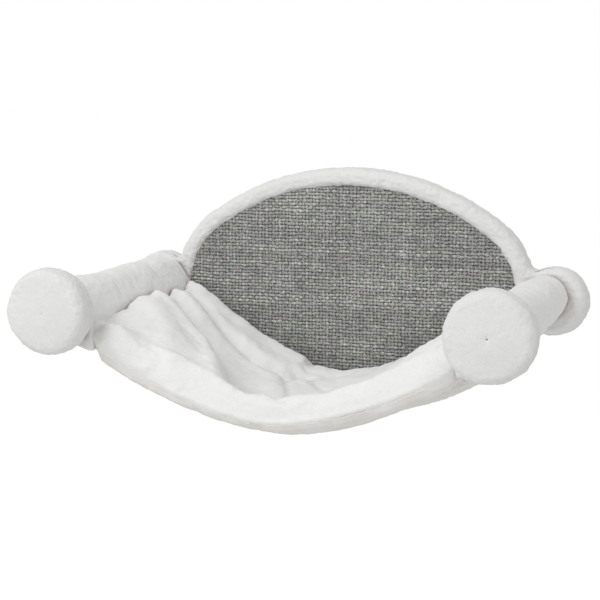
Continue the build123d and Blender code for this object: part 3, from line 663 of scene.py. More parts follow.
def sisal(name, look):
    # The weave's own formula again: a thread's top is rise * sqrt(1 - roundness * off ** 2), plus the
    # interlace for the weft and minus it for the warp. Where the height is low the dark gap colour shows: the
    # backing and painted shade.
    material, tree = newMaterial(name)
    at = (addNode(tree, "TexCoord"), "Object")
    stray = addNode(tree, "TexNoise", Vector=at, Scale=perMetre(look["wander"][0]), Detail=2.0)
    straying = addNode(tree, "SeparateColor", Color=(stray, "Color"))
    tops, owns, waves = [], [], []
    for counting, rise, free, channel, first in (look["weft"], look["warp"]):
        reach = free * look["wander"][1]
        laid = addNode(tree, "Attribute", {"attribute_name": counting})
        aside = addNode(tree, "Math", multiplyAdd, i0=(straying, channel), i1=reach, i2=-reach / 2)
        counted = addNode(tree, "Math", add, i0=(laid, "Fac"), i1=aside)
        whole = addNode(tree, "Math", {"operation": "ROUND"}, i0=counted)
        off = addNode(tree, "Math", {"operation": "SUBTRACT"}, i0=counted, i1=whole)
        square = addNode(tree, "Math", multiply, i0=off, i1=off)
        left = addNode(tree, "Math", {**multiplyAdd, **clamped}, i0=square, i1=-look["roundness"], i2=1.0)
        root = addNode(tree, "Math", {"operation": "SQRT"}, i0=left)
        tops.append(addNode(tree, "Math", multiply, i0=root, i1=rise))
        turned = addNode(tree, "Math", multiply, i0=counted, i1=math.pi)
        waves.append(addNode(tree, "Math", {"operation": "COSINE"}, i0=turned))
        number = addNode(tree, "Math", add, i0=whole, i1=first)
        owns.append(addNode(tree, "TexWhiteNoise", {"noise_dimensions": "1D"}, W=number))
    over = addNode(tree, "Math", multiply, i0=waves[0], i1=waves[1])
    weft, warp = [addNode(tree, "Math", multiplyAdd, i0=over, i1=sign * look["interlace"], i2=top)
                  for sign, top in zip((1, -1), tops)]
    height = addNode(tree, "Math", maximum, i0=weft, i1=warp)
    weftOnTop = addNode(tree, "Math", {"operation": "GREATER_THAN"}, i0=weft, i1=warp)
    weftOwn = addNode(tree, "Math", multiplyAdd, i0=waves[0], i1=look["everyOther"], i2=owns[0])
    warpOwn = addNode(tree, "Math", add, i0=owns[1], i1=look["warpTone"])
    own = addNode(tree, "Mix", i0=weftOnTop, i2=warpOwn, i3=weftOwn)

    fleck = addNode(tree, "TexNoise", Vector=at, Scale=perMetre(look["fleck"]), Detail=4.0, Roughness=0.75)
    long, high = [perMetre(size) for size in look["slub"]]
    drawn = addNode(tree, "Mapping", Vector=at, Scale=(long, long, high))
    slub = addNode(tree, "TexNoise", Vector=drawn, Scale=1.0, Detail=3.0, Roughness=0.6)
    patch = addNode(tree, "TexNoise", Vector=at, Scale=perMetre(look["patch"]), Detail=1.0)
    sums = addNode(tree, "Math", multiplyAdd, i0=slub, i1=look["slubShare"], i2=fleck)
    spread, faded = [addNode(tree, "MapRange", i0=source, i1=low, i2=high, i3=lowTone, i4=highTone)
                     for source, (low, high, lowTone, highTone)
                     in ((sums, look["spread"]), (patch, look["faded"]))]
    tone = addNode(tree, "Math", multiplyAdd, i0=own, i1=look["ownShare"], i2=spread)
    raised = addNode(tree, "Math", {**add, **clamped}, i0=tone, i1=faded)
    yarn = addNode(tree, "ValToRGB", Fac=raised)
    setRamp(yarn, look["yarns"])
    tint = addNode(tree, "TexNoise", Vector=at, Scale=perMetre(look["tintSize"]), Detail=1.0)
    tints = addNode(tree, "ValToRGB", Fac=tint)
    setRamp(tints, look["tints"])
    tinted = addNode(tree, "Mix", stain, i0=1.0, i6=yarn, i7=tints)

    # Painted shade in part: low places of the weave take the dark gap colour, which stands for the backing
    # and for the shade between the threads.
    cover = addNode(tree, "Math", multiplyAdd, i0=fleck, i1=look["loose"], i2=height)
    gapOnly, full = [place + look["loose"] / 2 for place in look["cover"]]
    shown = addNode(tree, "MapRange", Value=cover, From_Min=gapOnly, From_Max=full)
    gap = hexToLinear(look["gap"])
    colour = addNode(tree, "Mix", {"data_type": "RGBA"}, i0=shown, i6=gap, i7=(tinted, 2))
    fibre = addNode(tree, "TexNoise", Vector=at, Scale=perMetre(look["fibre"]), Detail=2.0)
    rough = addNode(tree, "Math", multiplyAdd, i0=fibre, i1=look["fibreShare"], i2=height)
    coat(tree, look, rough, Base_Color=(colour, 2), Specular_IOR_Level=look["specular"])
    return material


wear(sisalWeave, sisal("sisalYarn", sisalLook))
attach(sisalWeave, "wall_board")
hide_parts("sisal_mat")


# End discs

discForm = {
    "radius": 43.8,
    "backRound": 12.0,
    "frontRound": 10.0,
    "roundSteps": 24,
    "crown": 2.5,
    "sideBulge": 0.5,
    "back": [(0.4, 0.9), (8.0, 0.6), (16.0, 0.2)],          # radius, and how far in from the back
    "face": [(29.8, 1.8), (15.0, 0.3), (10.0, 0.0)],        # radius, and how far in from the front
    # the dimple over the bolt: how deep it is, and its mouth's radius where the pile closes
    "dimple": {"left": 0.25, "right": 1.2},
    "mouth": {"left": 0.1, "right": 0.4},
    "dimpleStart": (6.0, 0.2),      # radius, and how far in from the front
    "dimpleSlope": (3.0, 0.4),      # radius, and share of the dimple's depth
    "lip": 0.4,
    "wellRadius": 7.6,
    "overBolt": 0.6,
    "underWasher": 0.4,
    "roof": [(0.0, 1.9), (1.4, 0.9)],       # beyond the mouth's radius, and over the bolt
    "wall": [(-1.0, 0.5), (0.0, -1.2)],     # beyond the well's radius, and over the bolt
    "foot": [(0.0, 0.6), (-0.8, 0.0)],      # beyond the well's radius, and over the well's floor
    "axisGap": 0.4,
    "around": 196,
    "step": 1.4,
    "pile": [(26.0, 1.0), (10.0, 0.45), (4.6, 0.45), (2.3, 0.5)],
    "seed": {"left": 21, "right": 41},
    "mouthFade": 9.0,       # over which the pile rises, from the mouth
    "faceShare": 0.3,       # of the pile's height, on the flat face
    "faceRadius": 30.0,
    "rimFade": 10.0,
}


def discProfile(form, hand):
    # Radius and depth from the middle of the back, round the rim and over the face into the bolt's well.
    back, front = layout["discBack"], layout["discFront"]
    shoulder = front - form["crown"]
    radius, backRound, frontRound = form["radius"], form["backRound"], form["frontRound"]
    turn = np.linspace(0, math.pi / 2, form["roundSteps"])
    outside = [
        *[(at, back + inset) for at, inset in form["back"]],
        *zip(radius - backRound + backRound * np.sin(turn), back + backRound - backRound * np.cos(turn)),
        (radius + form["sideBulge"], (back + backRound + shoulder - frontRound) / 2),
        *zip(radius - frontRound + frontRound * np.cos(turn),
             shoulder - frontRound + frontRound * np.sin(turn)),
        *[(at, front - inset) for at, inset in form["face"]],
    ]
    mouth, dimple = form["mouth"][hand], form["dimple"][hand]
    (startRadius, startInset), (slopeRadius, slopeShare) = form["dimpleStart"], form["dimpleSlope"]
    wellTop, wellFloor = layout["boltFront"] + form["overBolt"], layout["washerBack"] - form["underWasher"]
    well = [
        (startRadius, front - startInset),
        (slopeRadius, front - startInset - slopeShare * dimple),
        (mouth + form["lip"], front - startInset - dimple),
        *[(mouth + beyond, wellTop + above) for beyond, above in form["roof"]],
        *[(form["wellRadius"] + beyond, wellTop + above) for beyond, above in form["wall"]],
        *[(form["wellRadius"] + beyond, wellFloor + above) for beyond, above in form["foot"]],
        (form["axisGap"], wellFloor),
    ]
    profile = np.array(outside + well)
    # Even steps along the profile, with the corners at the dimple and the well kept.
    length = np.concatenate([[0], np.cumsum(np.hypot(*np.diff(profile, axis=0).T))])
    even = np.linspace(0, length[-1], int(length[-1] / form["step"]))
    even = np.unique(np.concatenate([even, length[-len(well):]]))
    return np.interp(even, length, profile[:, 0]), np.interp(even, length, profile[:, 1])


def makeDisc(hand, side, form):
    # The profile turned round the arm's axis: x = radius * cos(angle), z = radius * sin(angle).
    radius, depth = discProfile(form, hand)
    angle = np.linspace(0, 2 * math.pi, form["around"], endpoint=False)
    grid = np.stack([
        side * layout["armX"] + radius[:, None] * np.cos(angle),
        np.broadcast_to(-depth[:, None], (len(radius), len(angle))),
        layout["armRise"] + radius[:, None] * np.sin(angle),
    ], axis=-1)
    piece = ringPiece(hand + "DiscCushion", grid, poles=True)
    points, normals = readMesh(piece.data)
    fromAxis = np.hypot(points[:, 0] - side * layout["armX"], points[:, 2] - layout["armRise"])
    lift = lumpHeight(points, form["pile"], form["seed"][hand])
    lift *= np.clip((fromAxis - form["mouth"][hand]) / form["mouthFade"], 0, 1)
    towardsRim = np.clip((fromAxis - form["faceRadius"]) / form["rimFade"], 0, 1)
    lift *= form["faceShare"] + (1 - form["faceShare"]) * towardsRim
    writeMesh(piece.data, points + normals * lift[:, None])
    wear(piece, greyerPlush)
    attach(piece, hand + "_end_disc")
    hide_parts(hand + "_disc_cover", hand + "_disc_padding")


hands = {"left": -1, "right": 1}
for hand, side in hands.items():
    makeDisc(hand, side, discForm)
print("end discs made")


# Sleeves of the hammock

sleeveForm = {
    "bore": 20.7,
    # direction from the arm's axis in degrees, 0 towards the middle and 90 up, and the radius there
    "outline": [(-180, 28.0), (-165, 27.6), (-150, 27.6), (-135, 28.0), (-120, 28.8), (-105, 30.2),
                (-90, 32.6), (-80, 35.0), (-71, 38.5), (-63, 43.0), (-56, 49.5), (-51.5, 56.5), (-48, 56.0),
                (-43, 50.0), (-36, 44.8), (-28, 40.6), (-16, 37.4), (-6, 35.6), (2, 33.6), (10, 31.4),
                (20, 29.4), (35, 27.8), (60, 27.3), (90, 27.4), (120, 27.3), (150, 27.5), (180, 28.0)],
    "outlineSoft": 16.0,
    # share of the length from the wall, and how much fuller the sleeve is there, away from the mat
    "swell": {"left": [(0, 1.5), (0.4, 0.5), (1, 0)],
              "right": [(0, -3.4), (0.3, -1.5), (0.6, 0.5), (1, 2.0)]},
    "swellSoft": 0.1,
    "swellFrom": (20.0, 40.0),      # degrees from the mat's side where it starts, and over how many it rises
    "hemBand": 8.0,
    "hemGroove": 1.3,
    "grooveWidth": 1.3,
    "hemRound": 2.6,
    "hemBulge": 0.9,
    "around": 150,
    "along": 172,
    "hemSteps": 7,
    "boreSteps": 30,
    "lumps": [(46.0, 1.6), (24.0, 1.1), (11.0, 0.5)],
    "lumpSeed": {"left": 44, "right": 58},
    "pile": [(5.0, 0.3), (2.6, 0.3)],
    "pileSeed": {"left": 56, "right": 66},
    "boreFade": 5.0,            # over which lumps and pile rise, from the bore
    "hemFade": (3.0, 14.0),     # where the lumps start, from a hem, and over what length they rise
    "seam": (35.6, 8.0),        # where they end, from the axis towards the mat, and over what width
    "sewn": 0.1,                # share of the lumps' height that is left at hems and seam
}


def makeSleeve(hand, side, form):
    # A tube round the arm: radius = bore + (outline + swell - hem - bore) * share. The share is 1 outside,
    # 0 in the bore, and runs from one to the other round each hem.
    angle = np.linspace(-180, 180, form["around"], endpoint=False)
    outline = smoothTable(form["outline"], form["outlineSoft"])(angle)
    length, back = layout["hammockLength"], layout["sleeveBack"]
    outer = np.linspace(0, 1, form["along"])
    bulge = form["hemBulge"] * np.sin(np.linspace(0, math.pi, form["hemSteps"] + 2)[1:-1])
    fullness = np.linspace(1, 0, form["hemSteps"] + 2)[1:-1]
    inner = np.linspace(1, 0, form["boreSteps"])
    along = np.concatenate([outer * length, length + bulge, inner * length, -bulge])
    share = np.concatenate([np.ones(len(outer)), fullness, np.zeros(len(inner)), fullness[::-1]])
    fromEnd = np.clip(np.minimum(along, length - along), 0, None)
    hem = edgeRounding(fromEnd, form["hemRound"])
    hem += form["hemGroove"] * np.exp(-((fromEnd - form["hemBand"]) / form["grooveWidth"]) ** 2)
    start, width = form["swellFrom"]
    swell = smoothTable(form["swell"][hand], form["swellSoft"])(along / length)[:, None]
    swell = swell * np.clip((np.abs(angle) - start) / width, 0, 1)
    radius = form["bore"] + (outline[None] + swell - form["bore"] - hem[:, None]) * share[:, None]
    turn = np.radians(angle)
    grid = np.stack([
        side * (layout["armX"] - radius * np.cos(turn)),
        np.broadcast_to(-(back + along)[:, None], radius.shape),
        layout["armRise"] + radius * np.sin(turn),
    ], axis=-1)
    piece = ringPiece(hand + "Sleeve", grid)
    # The bore stays clear of the arm, and the hems and the seam to the mat stay where they are sewn.
    points, normals = readMesh(piece.data)
    fromAxis = np.hypot(points[:, 0] - side * layout["armX"], points[:, 2] - layout["armRise"])
    fromHem, fade = form["hemFade"]
    seam, seamFade = form["seam"]
    towardsMat = layout["armX"] - side * points[:, 0]
    lift = lumpHeight(points, form["lumps"], form["lumpSeed"][hand])
    lift *= np.clip((np.repeat(fromEnd, form["around"]) - fromHem) / fade, form["sewn"], 1)
    lift *= np.clip((seam - towardsMat) / seamFade, form["sewn"], 1)
    lift += lumpHeight(points, form["pile"], form["pileSeed"][hand])
    lift *= np.clip((fromAxis - form["bore"]) / form["boreFade"], 0, 1)
    writeMesh(piece.data, points + normals * lift[:, None])
    wear(piece, whitePlush)
    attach(piece, "hammock")
    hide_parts(hand + "_sleeve")


for hand, side in hands.items():
    makeSleeve(hand, side, sleeveForm)
print("sleeves made")


# Padded mat

matForm = {
    "endTop": 3.0,          # of the top above the arm axes, where the mat meets a sleeve
    "endLowFront": -50.0,
    "endLowRear": -42.0,
    "rearSag": 95.0,
    "frontSag": 85.0,
    "thickness": 25.0,
    "topFullness": 1.5,
    "rimFullness": {"left": (0.16, 0.0), "right": (0.5, 0.42)},     # added at the rear and the front rim
    "rimWidth": (40.0, 100.0),
    "lowFullness": 1.7,
    # share of the length from the rear, and how far the top sags there beyond the rims
    "bowl": [(0, 0), (0.03, 0), (0.07, 1.0), (0.17, 7.0), (0.33, 13.5), (0.5, 16), (0.67, 14.5), (0.81, 8.5),
             (0.9, 2), (0.95, 0), (1, 0)],
    "bowlSoft": 0.08,
    "frontRound": 17.0,
    "rearRound": 13.0,
    "endRound": 15.0,
    "endShare": 0.8,        # of the full thickness, at the seam to a sleeve
    "across": 170,
    "top": 104,
    "below": 52,
    "evenShare": 0.55,      # of the spacing of the top's points; the rest is drawn to the rims
    "foldEnd": 20.0,        # over which folds and crumples rise, from the seam to a sleeve
    "waver": (34.0, 5.0),   # how the folds stray from their lines: over what length, and how far
    "waverSeeds": (81, 82),
    "crumple": [(26.0, 2.0), (13.0, 0.9)],
    "crumpleSeed": 83,
    "pile": [(30.0, 0.8), (9.0, 0.45), (4.5, 0.4), (2.6, 0.3)],
    "pileSeed": 71,
}

# Folds of the mat: line of places across and out from the wall, height at its two ends, and width.
matFolds = [
    # pillow in front of the left arm, its steep edge, and the wide hollow behind it
    ([(-190, -129), (-163, -147), (-135, -162), (-108, -183), (-87, -208), (-73, -241)], 13.0, 13.0, 14.0),
    ([(-176, -176), (-146, -196), (-112, -226)], 12.0, 11.0, 24.0),
    ([(-190, -108), (-160, -123), (-128, -141), (-99, -167), (-75, -199), (-58, -238)], -12.0, -12.0, 9.5),
    ([(-112, -130), (-84, -156), (-58, -190), (-38, -236)], -7.0, -14.0, 21.0),
    # narrow ridge between two creases, and the deep crease along the rear rim
    ([(-190, -84), (-162, -95), (-132, -107), (-112, -120)], 9.0, 2.0, 7.5),
    ([(-186, -66), (-156, -76), (-128, -92), (-98, -106), (-66, -104), (-30, -84)], -13.0, -9.0, 8.5),
    ([(-84, -112), (-62, -118)], -9.0, -9.0, 6.5),
    ([(-56, -110), (-42, -104)], -10.0, -8.0, 6.0),
    # roll of the rear rim, fuller at the left and dipping right of the middle
    ([(-188, -42), (-130, -46), (-60, -46), (40, -42), (120, -46), (188, -42)], 4.0, 4.0, 10.0),
    ([(-188, -39), (-150, -40), (-122, -42)], 10.0, 8.5, 12.0),
    ([(2, -40), (36, -40)], -4.5, -4.0, 13.0),
    # front roll and its crease, and the hollow beside the left arm
    ([(-172, -271), (-120, -269), (0, -267), (120, -267), (180, -268)], 4.0, 4.0, 10.0),
    ([(-180, -236), (-158, -247), (-136, -254), (-112, -257)], -13.0, -3.0, 11.0),
    ([(-190, -276), (-184, -252), (-172, -230), (-160, -220)], -15.0, -5.0, 14.0),
    ([(186, -246), (150, -254), (105, -260), (60, -262)], -9.0, -1.0, 7.0),
    # right-hand folds
    ([(190, -138), (165, -158), (140, -173), (116, -192), (95, -214), (80, -242)], 8.0, 4.0, 14.0),
    ([(190, -108), (160, -123), (128, -141), (99, -167), (75, -199)], -8.0, -4.0, 12.0),
    ([(186, -66), (150, -74), (110, -84), (60, -88), (20, -74)], -6.0, -2.0, 6.0),
    # small creases in the bowl
    ([(-44, -82), (-16, -74), (20, -62)], -6.0, -3.0, 5.5),
    ([(-44, -106), (-30, -140), (-12, -182)], -6.0, -4.0, 5.5),
    ([(-22, -100), (-6, -112)], 5.0, 4.0, 9.0),
    ([(-8, -96), (14, -128), (52, -120)], -6.0, -3.0, 6.5),
    ([(8, -150), (40, -172), (62, -164)], -5.0, -3.0, 6.0),
    ([(-34, -66), (-4, -60)], -5.0, -4.0, 4.5),
]

matPuff = {
    "voxel": 5.0,
    "quality": 6,
    "mass": 0.25,
    "stiffness": 18.0,
    "bending": 0.25,
    "pressure": 4.0,
    "spareCloth": 0.04,
    "frames": 20,
    "cap": 5.0,
    "capBelow": 0.8,
    "facesDown": (0.2, 2.0),    # share of capBelow on an upright face, and its growth as a face turns down
}


def matHeights(share, along, form):
    # Top and bottom of the mat above the arm axes: middle + (end - middle) * |share| ** fullness.
    length = layout["hammockLength"]
    bowl = smoothTable(form["bowl"], form["bowlSoft"])(along)
    middle = -(form["rearSag"] + (form["frontSag"] - form["rearSag"]) * along + bowl)
    nearRear = np.exp(-(along * length / form["rimWidth"][0]) ** 2)
    nearFront = np.exp(-((1 - along) * length / form["rimWidth"][1]) ** 2)
    left, right = [rear * nearRear + front * nearFront for rear, front in form["rimFullness"].values()]
    fullness = form["topFullness"] + np.where(share < 0, left, right)
    top = middle + (form["endTop"] - middle) * np.abs(share) ** fullness
    lowEnd = form["endLowRear"] + (form["endLowFront"] - form["endLowRear"]) * along
    lowMiddle = middle - form["thickness"]
    return top, lowMiddle + (lowEnd - lowMiddle) * np.abs(share) ** form["lowFullness"]


def roundedOff(gap, radius):
    # Share of the thickness at a distance from a rounded edge: sqrt(1 - (1 - gap / radius) ** 2).
    return np.sqrt(np.clip(1 - (1 - np.clip(gap / radius, 0, 1)) ** 2, 0, 1))


def matSection(share, along, side, form):
    # Height above the arm axes on the top (side 1) or the bottom (side -1) of the mat.
    length = layout["hammockLength"]
    top, low = matHeights(share, along, form)
    thick = np.minimum(roundedOff((1 - along) * length, form["frontRound"]),
                       roundedOff(along * length, form["rearRound"]))
    fromEnd = (1 - np.abs(share)) * layout["matHalfWidth"]
    ends = form["endShare"] + (1 - form["endShare"]) * roundedOff(fromEnd, form["endRound"])
    return (top + low) / 2 + side * (top - low) / 2 * thick * ends


def matPlaces(share, along):
    # Places across and out from the wall.
    return share * layout["matHalfWidth"], -(layout["sleeveBack"] + along * layout["hammockLength"])


def makeMat(form, folds, puff):
    # A ring of points round each section, its top raised by height * exp(-(gap / width) ** 2) for every fold.
    share = np.linspace(-1, 1, form["across"])
    topAlong = (1 - np.cos(np.linspace(0, math.pi, form["top"]))) / 2
    topAlong = (1 - form["evenShare"]) * topAlong + form["evenShare"] * np.linspace(0, 1, form["top"])
    lowAlong = (1 + np.cos(np.linspace(0, math.pi, form["below"] + 2)[1:-1])) / 2
    shares, alongs = np.meshgrid(share, np.concatenate([topAlong, lowAlong]), indexing="ij")
    sides = np.where(np.arange(alongs.shape[1]) < form["top"], 1, -1)
    x, y = matPlaces(shares, alongs)
    height = matSection(shares, alongs, sides, form)
    flat = np.stack([x.ravel(), y.ravel(), np.zeros(x.size)], axis=1)
    size, reach = form["waver"]
    waverX, waverY = [reach * latticeNoise(flat, size, seed).reshape(x.shape) for seed in form["waverSeeds"]]
    rise = lumpHeight(flat, form["crumple"], form["crumpleSeed"], seedStep=0).reshape(x.shape)
    for line, first, last, width in folds:
        gap, where = distanceToLine(x + waverX, y + waverY, line)
        rise = rise + (first + (last - first) * where) * np.exp(-(gap / width) ** 2)
    calm = roundedOff((1 - np.abs(shares)) * layout["matHalfWidth"], form["foldEnd"])
    height = height + np.where(sides > 0, rise, 0) * calm
    piece = ringPiece("hammockMat", np.stack([x, y, height + layout["armRise"]], axis=-1), poles=True)
    puffUp(piece, puff)
    subdivide(piece)
    raisePile(piece, form["pile"], form["pileSeed"])
    wear(piece, matPlush)
    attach(piece, "hammock")
    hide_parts("hammock_mat")
    return piece


hammockMat = makeMat(matForm, matFolds, matPuff)
print("mat:", len(hammockMat.data.vertices), "points")


# Cloth under the mat

undersideForm = {
    "off": 2.1,             # from the mat's lower face
    "thickness": 1.6,
    "tuck": 3.8,            # how far the rim dips into the pile, and over what width
    "tuckWidth": 3.5,
    "lumps": [(8.0, 0.6), (3.6, 0.5)],
    "seed": 91,
    "reach": 0.985,         # of the mat's half width
    "lip": 0.38,            # how far up the rounded front and rear the cloth comes, of the half thickness
    "across": 150,
    "along": 100,
    "evenShare": 0.4,
}


def makeUnderside(form):
    # The mat's lower face moved out along its normal, up to the lip on each rounded edge.
    length, halfWidth = layout["hammockLength"], layout["matHalfWidth"]
    share = np.linspace(-form["reach"], form["reach"], form["across"])
    turn = np.linspace(0, 1, form["along"])
    lipShare = 1 - math.sqrt(1 - (1 - form["lip"]) ** 2)
    startAlong = matForm["rearRound"] / length * lipShare
    endAlong = 1 - matForm["frontRound"] / length * lipShare
    eased = (1 - form["evenShare"]) * (1 - np.cos(math.pi * turn)) / 2 + form["evenShare"] * turn
    shares, alongs = np.meshgrid(share, startAlong + (endAlong - startAlong) * eased, indexing="ij")
    x, y = matPlaces(shares, alongs)
    surface = np.stack([x, y, matSection(shares, alongs, -1, matForm) + layout["armRise"]], axis=-1)
    normal = np.cross(np.gradient(surface, axis=0), np.gradient(surface, axis=1))
    normal /= np.linalg.norm(normal, axis=2, keepdims=True)
    normal *= np.sign(-normal[..., 2:].mean())
    fromRim = np.minimum((form["reach"] - np.abs(shares)) * halfWidth,
                         np.minimum(alongs - startAlong, endAlong - alongs) * length)
    tuck = form["tuck"] * np.exp(-(fromRim / form["tuckWidth"]) ** 2)
    lumps = lumpHeight(surface.reshape(-1, 3), form["lumps"], form["seed"], seedStep=0).reshape(x.shape)
    near = surface + normal * (form["off"] - tuck + lumps)[..., None]
    far = near + normal * form["thickness"]
    # Two faces, and a wall round the rim between them.
    rows, columns = form["across"], form["along"]
    count = rows * columns
    face = gridFaces(rows, columns)
    rim = np.concatenate([
        np.arange(columns), np.arange(1, rows) * columns + columns - 1,
        (rows - 1) * columns + np.arange(columns - 2, -1, -1), np.arange(rows - 2, 0, -1) * columns,
    ])
    after = np.roll(rim, -1)
    walls = np.stack([rim, rim + count, after + count, after], axis=1)
    points = np.concatenate([near.reshape(-1, 3), far.reshape(-1, 3)])
    quads = np.concatenate([face, face[:, ::-1] + count, walls[:, ::-1]])
    return makePiece("matUnderside", points, quads)


matUnderside = makeUnderside(undersideForm)

# Plain-woven cotton, off-white: matt, with a fine even weave.
cottonLook = {
    "tones": [(0.3, "#E1DEDA"), (0.7, "#EFEDEA")],
    "toneSize": 30.0,
    "weave": 2.88,          # a wave pattern of this size has threads 0.9 mm apart
    "bump": 0.4,
    "bumpDepth": 0.3,
    "roughness": 0.9,
}


def cotton(name, look):
    # Threads both ways as the product of two waves, which the bump follows.
    material, tree = newMaterial(name)
    at = (addNode(tree, "TexCoord"), "Object")
    waves = [addNode(tree, "TexWave", {"bands_direction": direction}, Vector=at,
                     Scale=perMetre(look["weave"]), Distortion=0.3) for direction in ("X", "Y")]
    weave = addNode(tree, "Math", multiply, i0=(waves[0], "Fac"), i1=(waves[1], "Fac"))
    tone = addNode(tree, "TexNoise", Vector=at, Scale=perMetre(look["toneSize"]), Detail=3.0)
    ramp = addNode(tree, "ValToRGB", Fac=tone)
    setRamp(ramp, look["tones"])
    coat(tree, look, weave, Base_Color=ramp)
    return material


wear(matUnderside, cotton("cottonCloth", cottonLook))
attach(matUnderside, "hammock")
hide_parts("mat_underside")
print("underside made")


# Finishes of the rigid pieces

# Where the dark and the pale tone stand in the noise, and the bump. For metal also how much finer the bump's
# noise is, and how far the roughness spreads about its own.
woodLook = {"tones": (0.3, 0.7), "bump": 0.25, "bumpDepth": 0.2, "roughness": 0.6}
metalLook = {"tones": (0.2, 0.8), "bump": 0.15, "bumpDepth": 0.1, "finer": 5.0, "spread": (-0.08, 0.12)}


def wood(name, dark, pale, grain, stretch, look=woodLook):
    # Noise drawn out along the grain, dark to pale, which the bump follows.
    material, tree = newMaterial(name)
    drawn = addNode(tree, "Mapping", Vector=(addNode(tree, "TexCoord"), "Object"), Scale=stretch)
    rings = addNode(tree, "TexNoise", Vector=drawn, Scale=perMetre(grain), Detail=5.0, Distortion=0.4)
    ramp = addNode(tree, "ValToRGB", Fac=rings)
    setRamp(ramp, list(zip(look["tones"], (dark, pale))))
    coat(tree, look, rings, Base_Color=ramp)
    return material


def metal(name, dark, pale, spangle, roughness, look=metalLook):
    # Patches of tone as large as the spangle, and finer noise in roughness and bump.
    material, tree = newMaterial(name)
    at = (addNode(tree, "TexCoord"), "Object")
    patch = addNode(tree, "TexVoronoi", Vector=at, Scale=perMetre(spangle))
    fine = addNode(tree, "TexNoise", Vector=at, Scale=perMetre(spangle / look["finer"]), Detail=2.0)
    ramp = addNode(tree, "ValToRGB", Fac=(patch, "Color"))
    setRamp(ramp, list(zip(look["tones"], (dark, pale))))
    smoother, rougher = look["spread"]
    rough = addNode(tree, "MapRange", Value=fine, To_Min=roughness + smoother, To_Max=roughness + rougher)
    coat(tree, look, fine, Base_Color=ramp, Metallic=1.0, Roughness=rough)
    return material


finishes = {
    # sanded birch plywood: pale, with a long quiet grain
    "plywood": wood("birchPlywood", "#C2A274", "#D9C19A", 9.0, (0.12, 1.0, 1.0)),
    # hardboard, pressed from fibres: brown and even, with no grain
    "hardboard": wood("hardboard", "#6F5137", "#8C6A48", 2.0, (1.0, 1.0, 1.0)),
    # turned beech, unvarnished: warm, with its fleck along the arm
    "beech": wood("turnedBeech", "#BE9468", "#D8B48A", 4.0, (1.0, 0.06, 1.0)),
    # zinc-plated steel: bright, in patches
    "galvanised_steel": metal("zincPlatedSteel", "#9A9DA0", "#C3C6C8", 4.0, 0.35),
    # cast zinc alloy: greyer and duller
    "zinc_alloy": metal("castZincAlloy", "#94938F", "#B4B3B0", 6.0, 0.45),
}
for part in frame["record"]["subparts"]:
    if part["material_slot"] in finishes:
        for materialSlot in frame["nodes"][part["node"]].material_slots:
            materialSlot.material = finishes[part["material_slot"]]
print("rigid pieces finished")


# Light, floor and camera

studio = {
    "ambient": 0.535,
    "drift": (0.08, -0.2, 0.16),    # how the ambient light grows in a direction
    "keyPlace": (-1.1, -2.0, 1.9),
    "keyTarget": (0, -0.15, 0),
    "keySize": 1.8,
    "keyPower": 30.0,
    "floorHalf": 9.0,
    "floorHeight": -0.9,
    "floorTone": "#F2F2F0",
    "roughness": 0.9,               # of the floor
    "floorLift": 0.42,              # glow that the camera alone sees
}


def seenDirectly(tree):
    # 1 on rays from the camera, also by way of a mirror or glass, and 0 on rays that bring light.
    path = addNode(tree, "LightPath")
    mirrored = addNode(tree, "Math", maximum, i0=(path, "Is Camera Ray"), i1=(path, "Is Glossy Ray"))
    return addNode(tree, "Math", maximum, i0=mirrored, i1=(path, "Is Transmission Ray"))


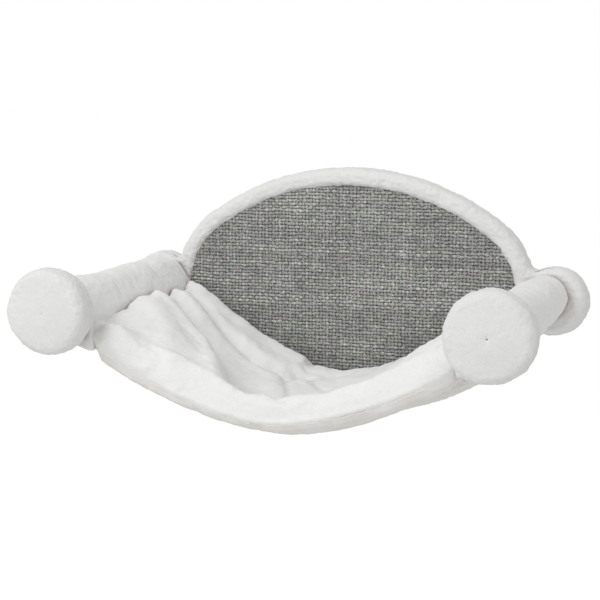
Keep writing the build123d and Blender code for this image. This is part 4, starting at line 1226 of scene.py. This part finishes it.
def makeWorld(look):
    # White where it is seen. Its light in a direction is ambient + direction . drift.
    world = bpy.data.worlds.new("studio")
    scene.world = world
    world.use_nodes = True
    tree = world.node_tree
    tree.nodes.clear()
    direction = addNode(tree, "TexCoord")
    lean = addNode(tree, "VectorMath", {"operation": "DOT_PRODUCT"}, i0=(direction, "Generated"),
                   i1=look["drift"])
    leaning = addNode(tree, "Math", add, i0=(lean, "Value"), i1=look["ambient"])
    strength = addNode(tree, "Mix", i0=(seenDirectly(tree), "Value"), i2=leaning, i3=1.0)
    background = addNode(tree, "Background", Color=(1, 1, 1, 1), Strength=strength)
    addNode(tree, "OutputWorld", Surface=background)


def makeFloor(look):
    # A square that glows a little where it is seen. It is made level with the origin, where its volume has no
    # sign and its face stays up, and then lowered.
    half = look["floorHalf"] / millimetre
    floor = makePiece("floor", [(-half, -half, 0), (half, -half, 0), (half, half, 0), (-half, half, 0)],
                      [(0, 1, 2, 3)])
    writeMesh(floor.data, readMesh(floor.data)[0] + [0, 0, look["floorHeight"] / millimetre])
    material, tree = newMaterial("paleFloor")
    lift = addNode(tree, "Math", multiply, i0=(seenDirectly(tree), "Value"), i1=look["floorLift"])
    coat(tree, look, Base_Color=hexToLinear(look["floorTone"]), Emission_Color=(1, 1, 1, 1),
         Emission_Strength=lift)
    wear(floor, material)


def makeKey(look):
    # A large soft lamp from the upper left.
    key = bpy.data.lights.new("key", "AREA")
    key.energy, key.size = look["keyPower"], look["keySize"]
    lamp = bpy.data.objects.new("key", key)
    lamp.location = look["keyPlace"]
    aim = Vector(look["keyTarget"]) - lamp.location
    lamp.rotation_euler = aim.to_track_quat("-Z", "Y").to_euler()
    scene.collection.objects.link(lamp)


# Fitted to the photograph, which is square.
view = {
    "place": (0.5017, -1.5762, 0.2259),
    "target": (-0.02315, -0.12, 0.0028),
    "lens": 86.86,
    "sensor": 36.0,
    "clip": (0.05, 50.0),
}


def makeCamera(look):
    camera = bpy.data.cameras.new("camera")
    camera.lens, camera.sensor_width = look["lens"], look["sensor"]
    camera.clip_start, camera.clip_end = look["clip"]
    stand = bpy.data.objects.new("camera", camera)
    stand.location = look["place"]
    stand.rotation_euler = (Vector(look["target"]) - stand.location).to_track_quat("-Z", "Y").to_euler()
    scene.collection.objects.link(stand)
    scene.camera = stand


makeWorld(studio)
makeFloor(studio)
makeKey(studio)
makeCamera(view)
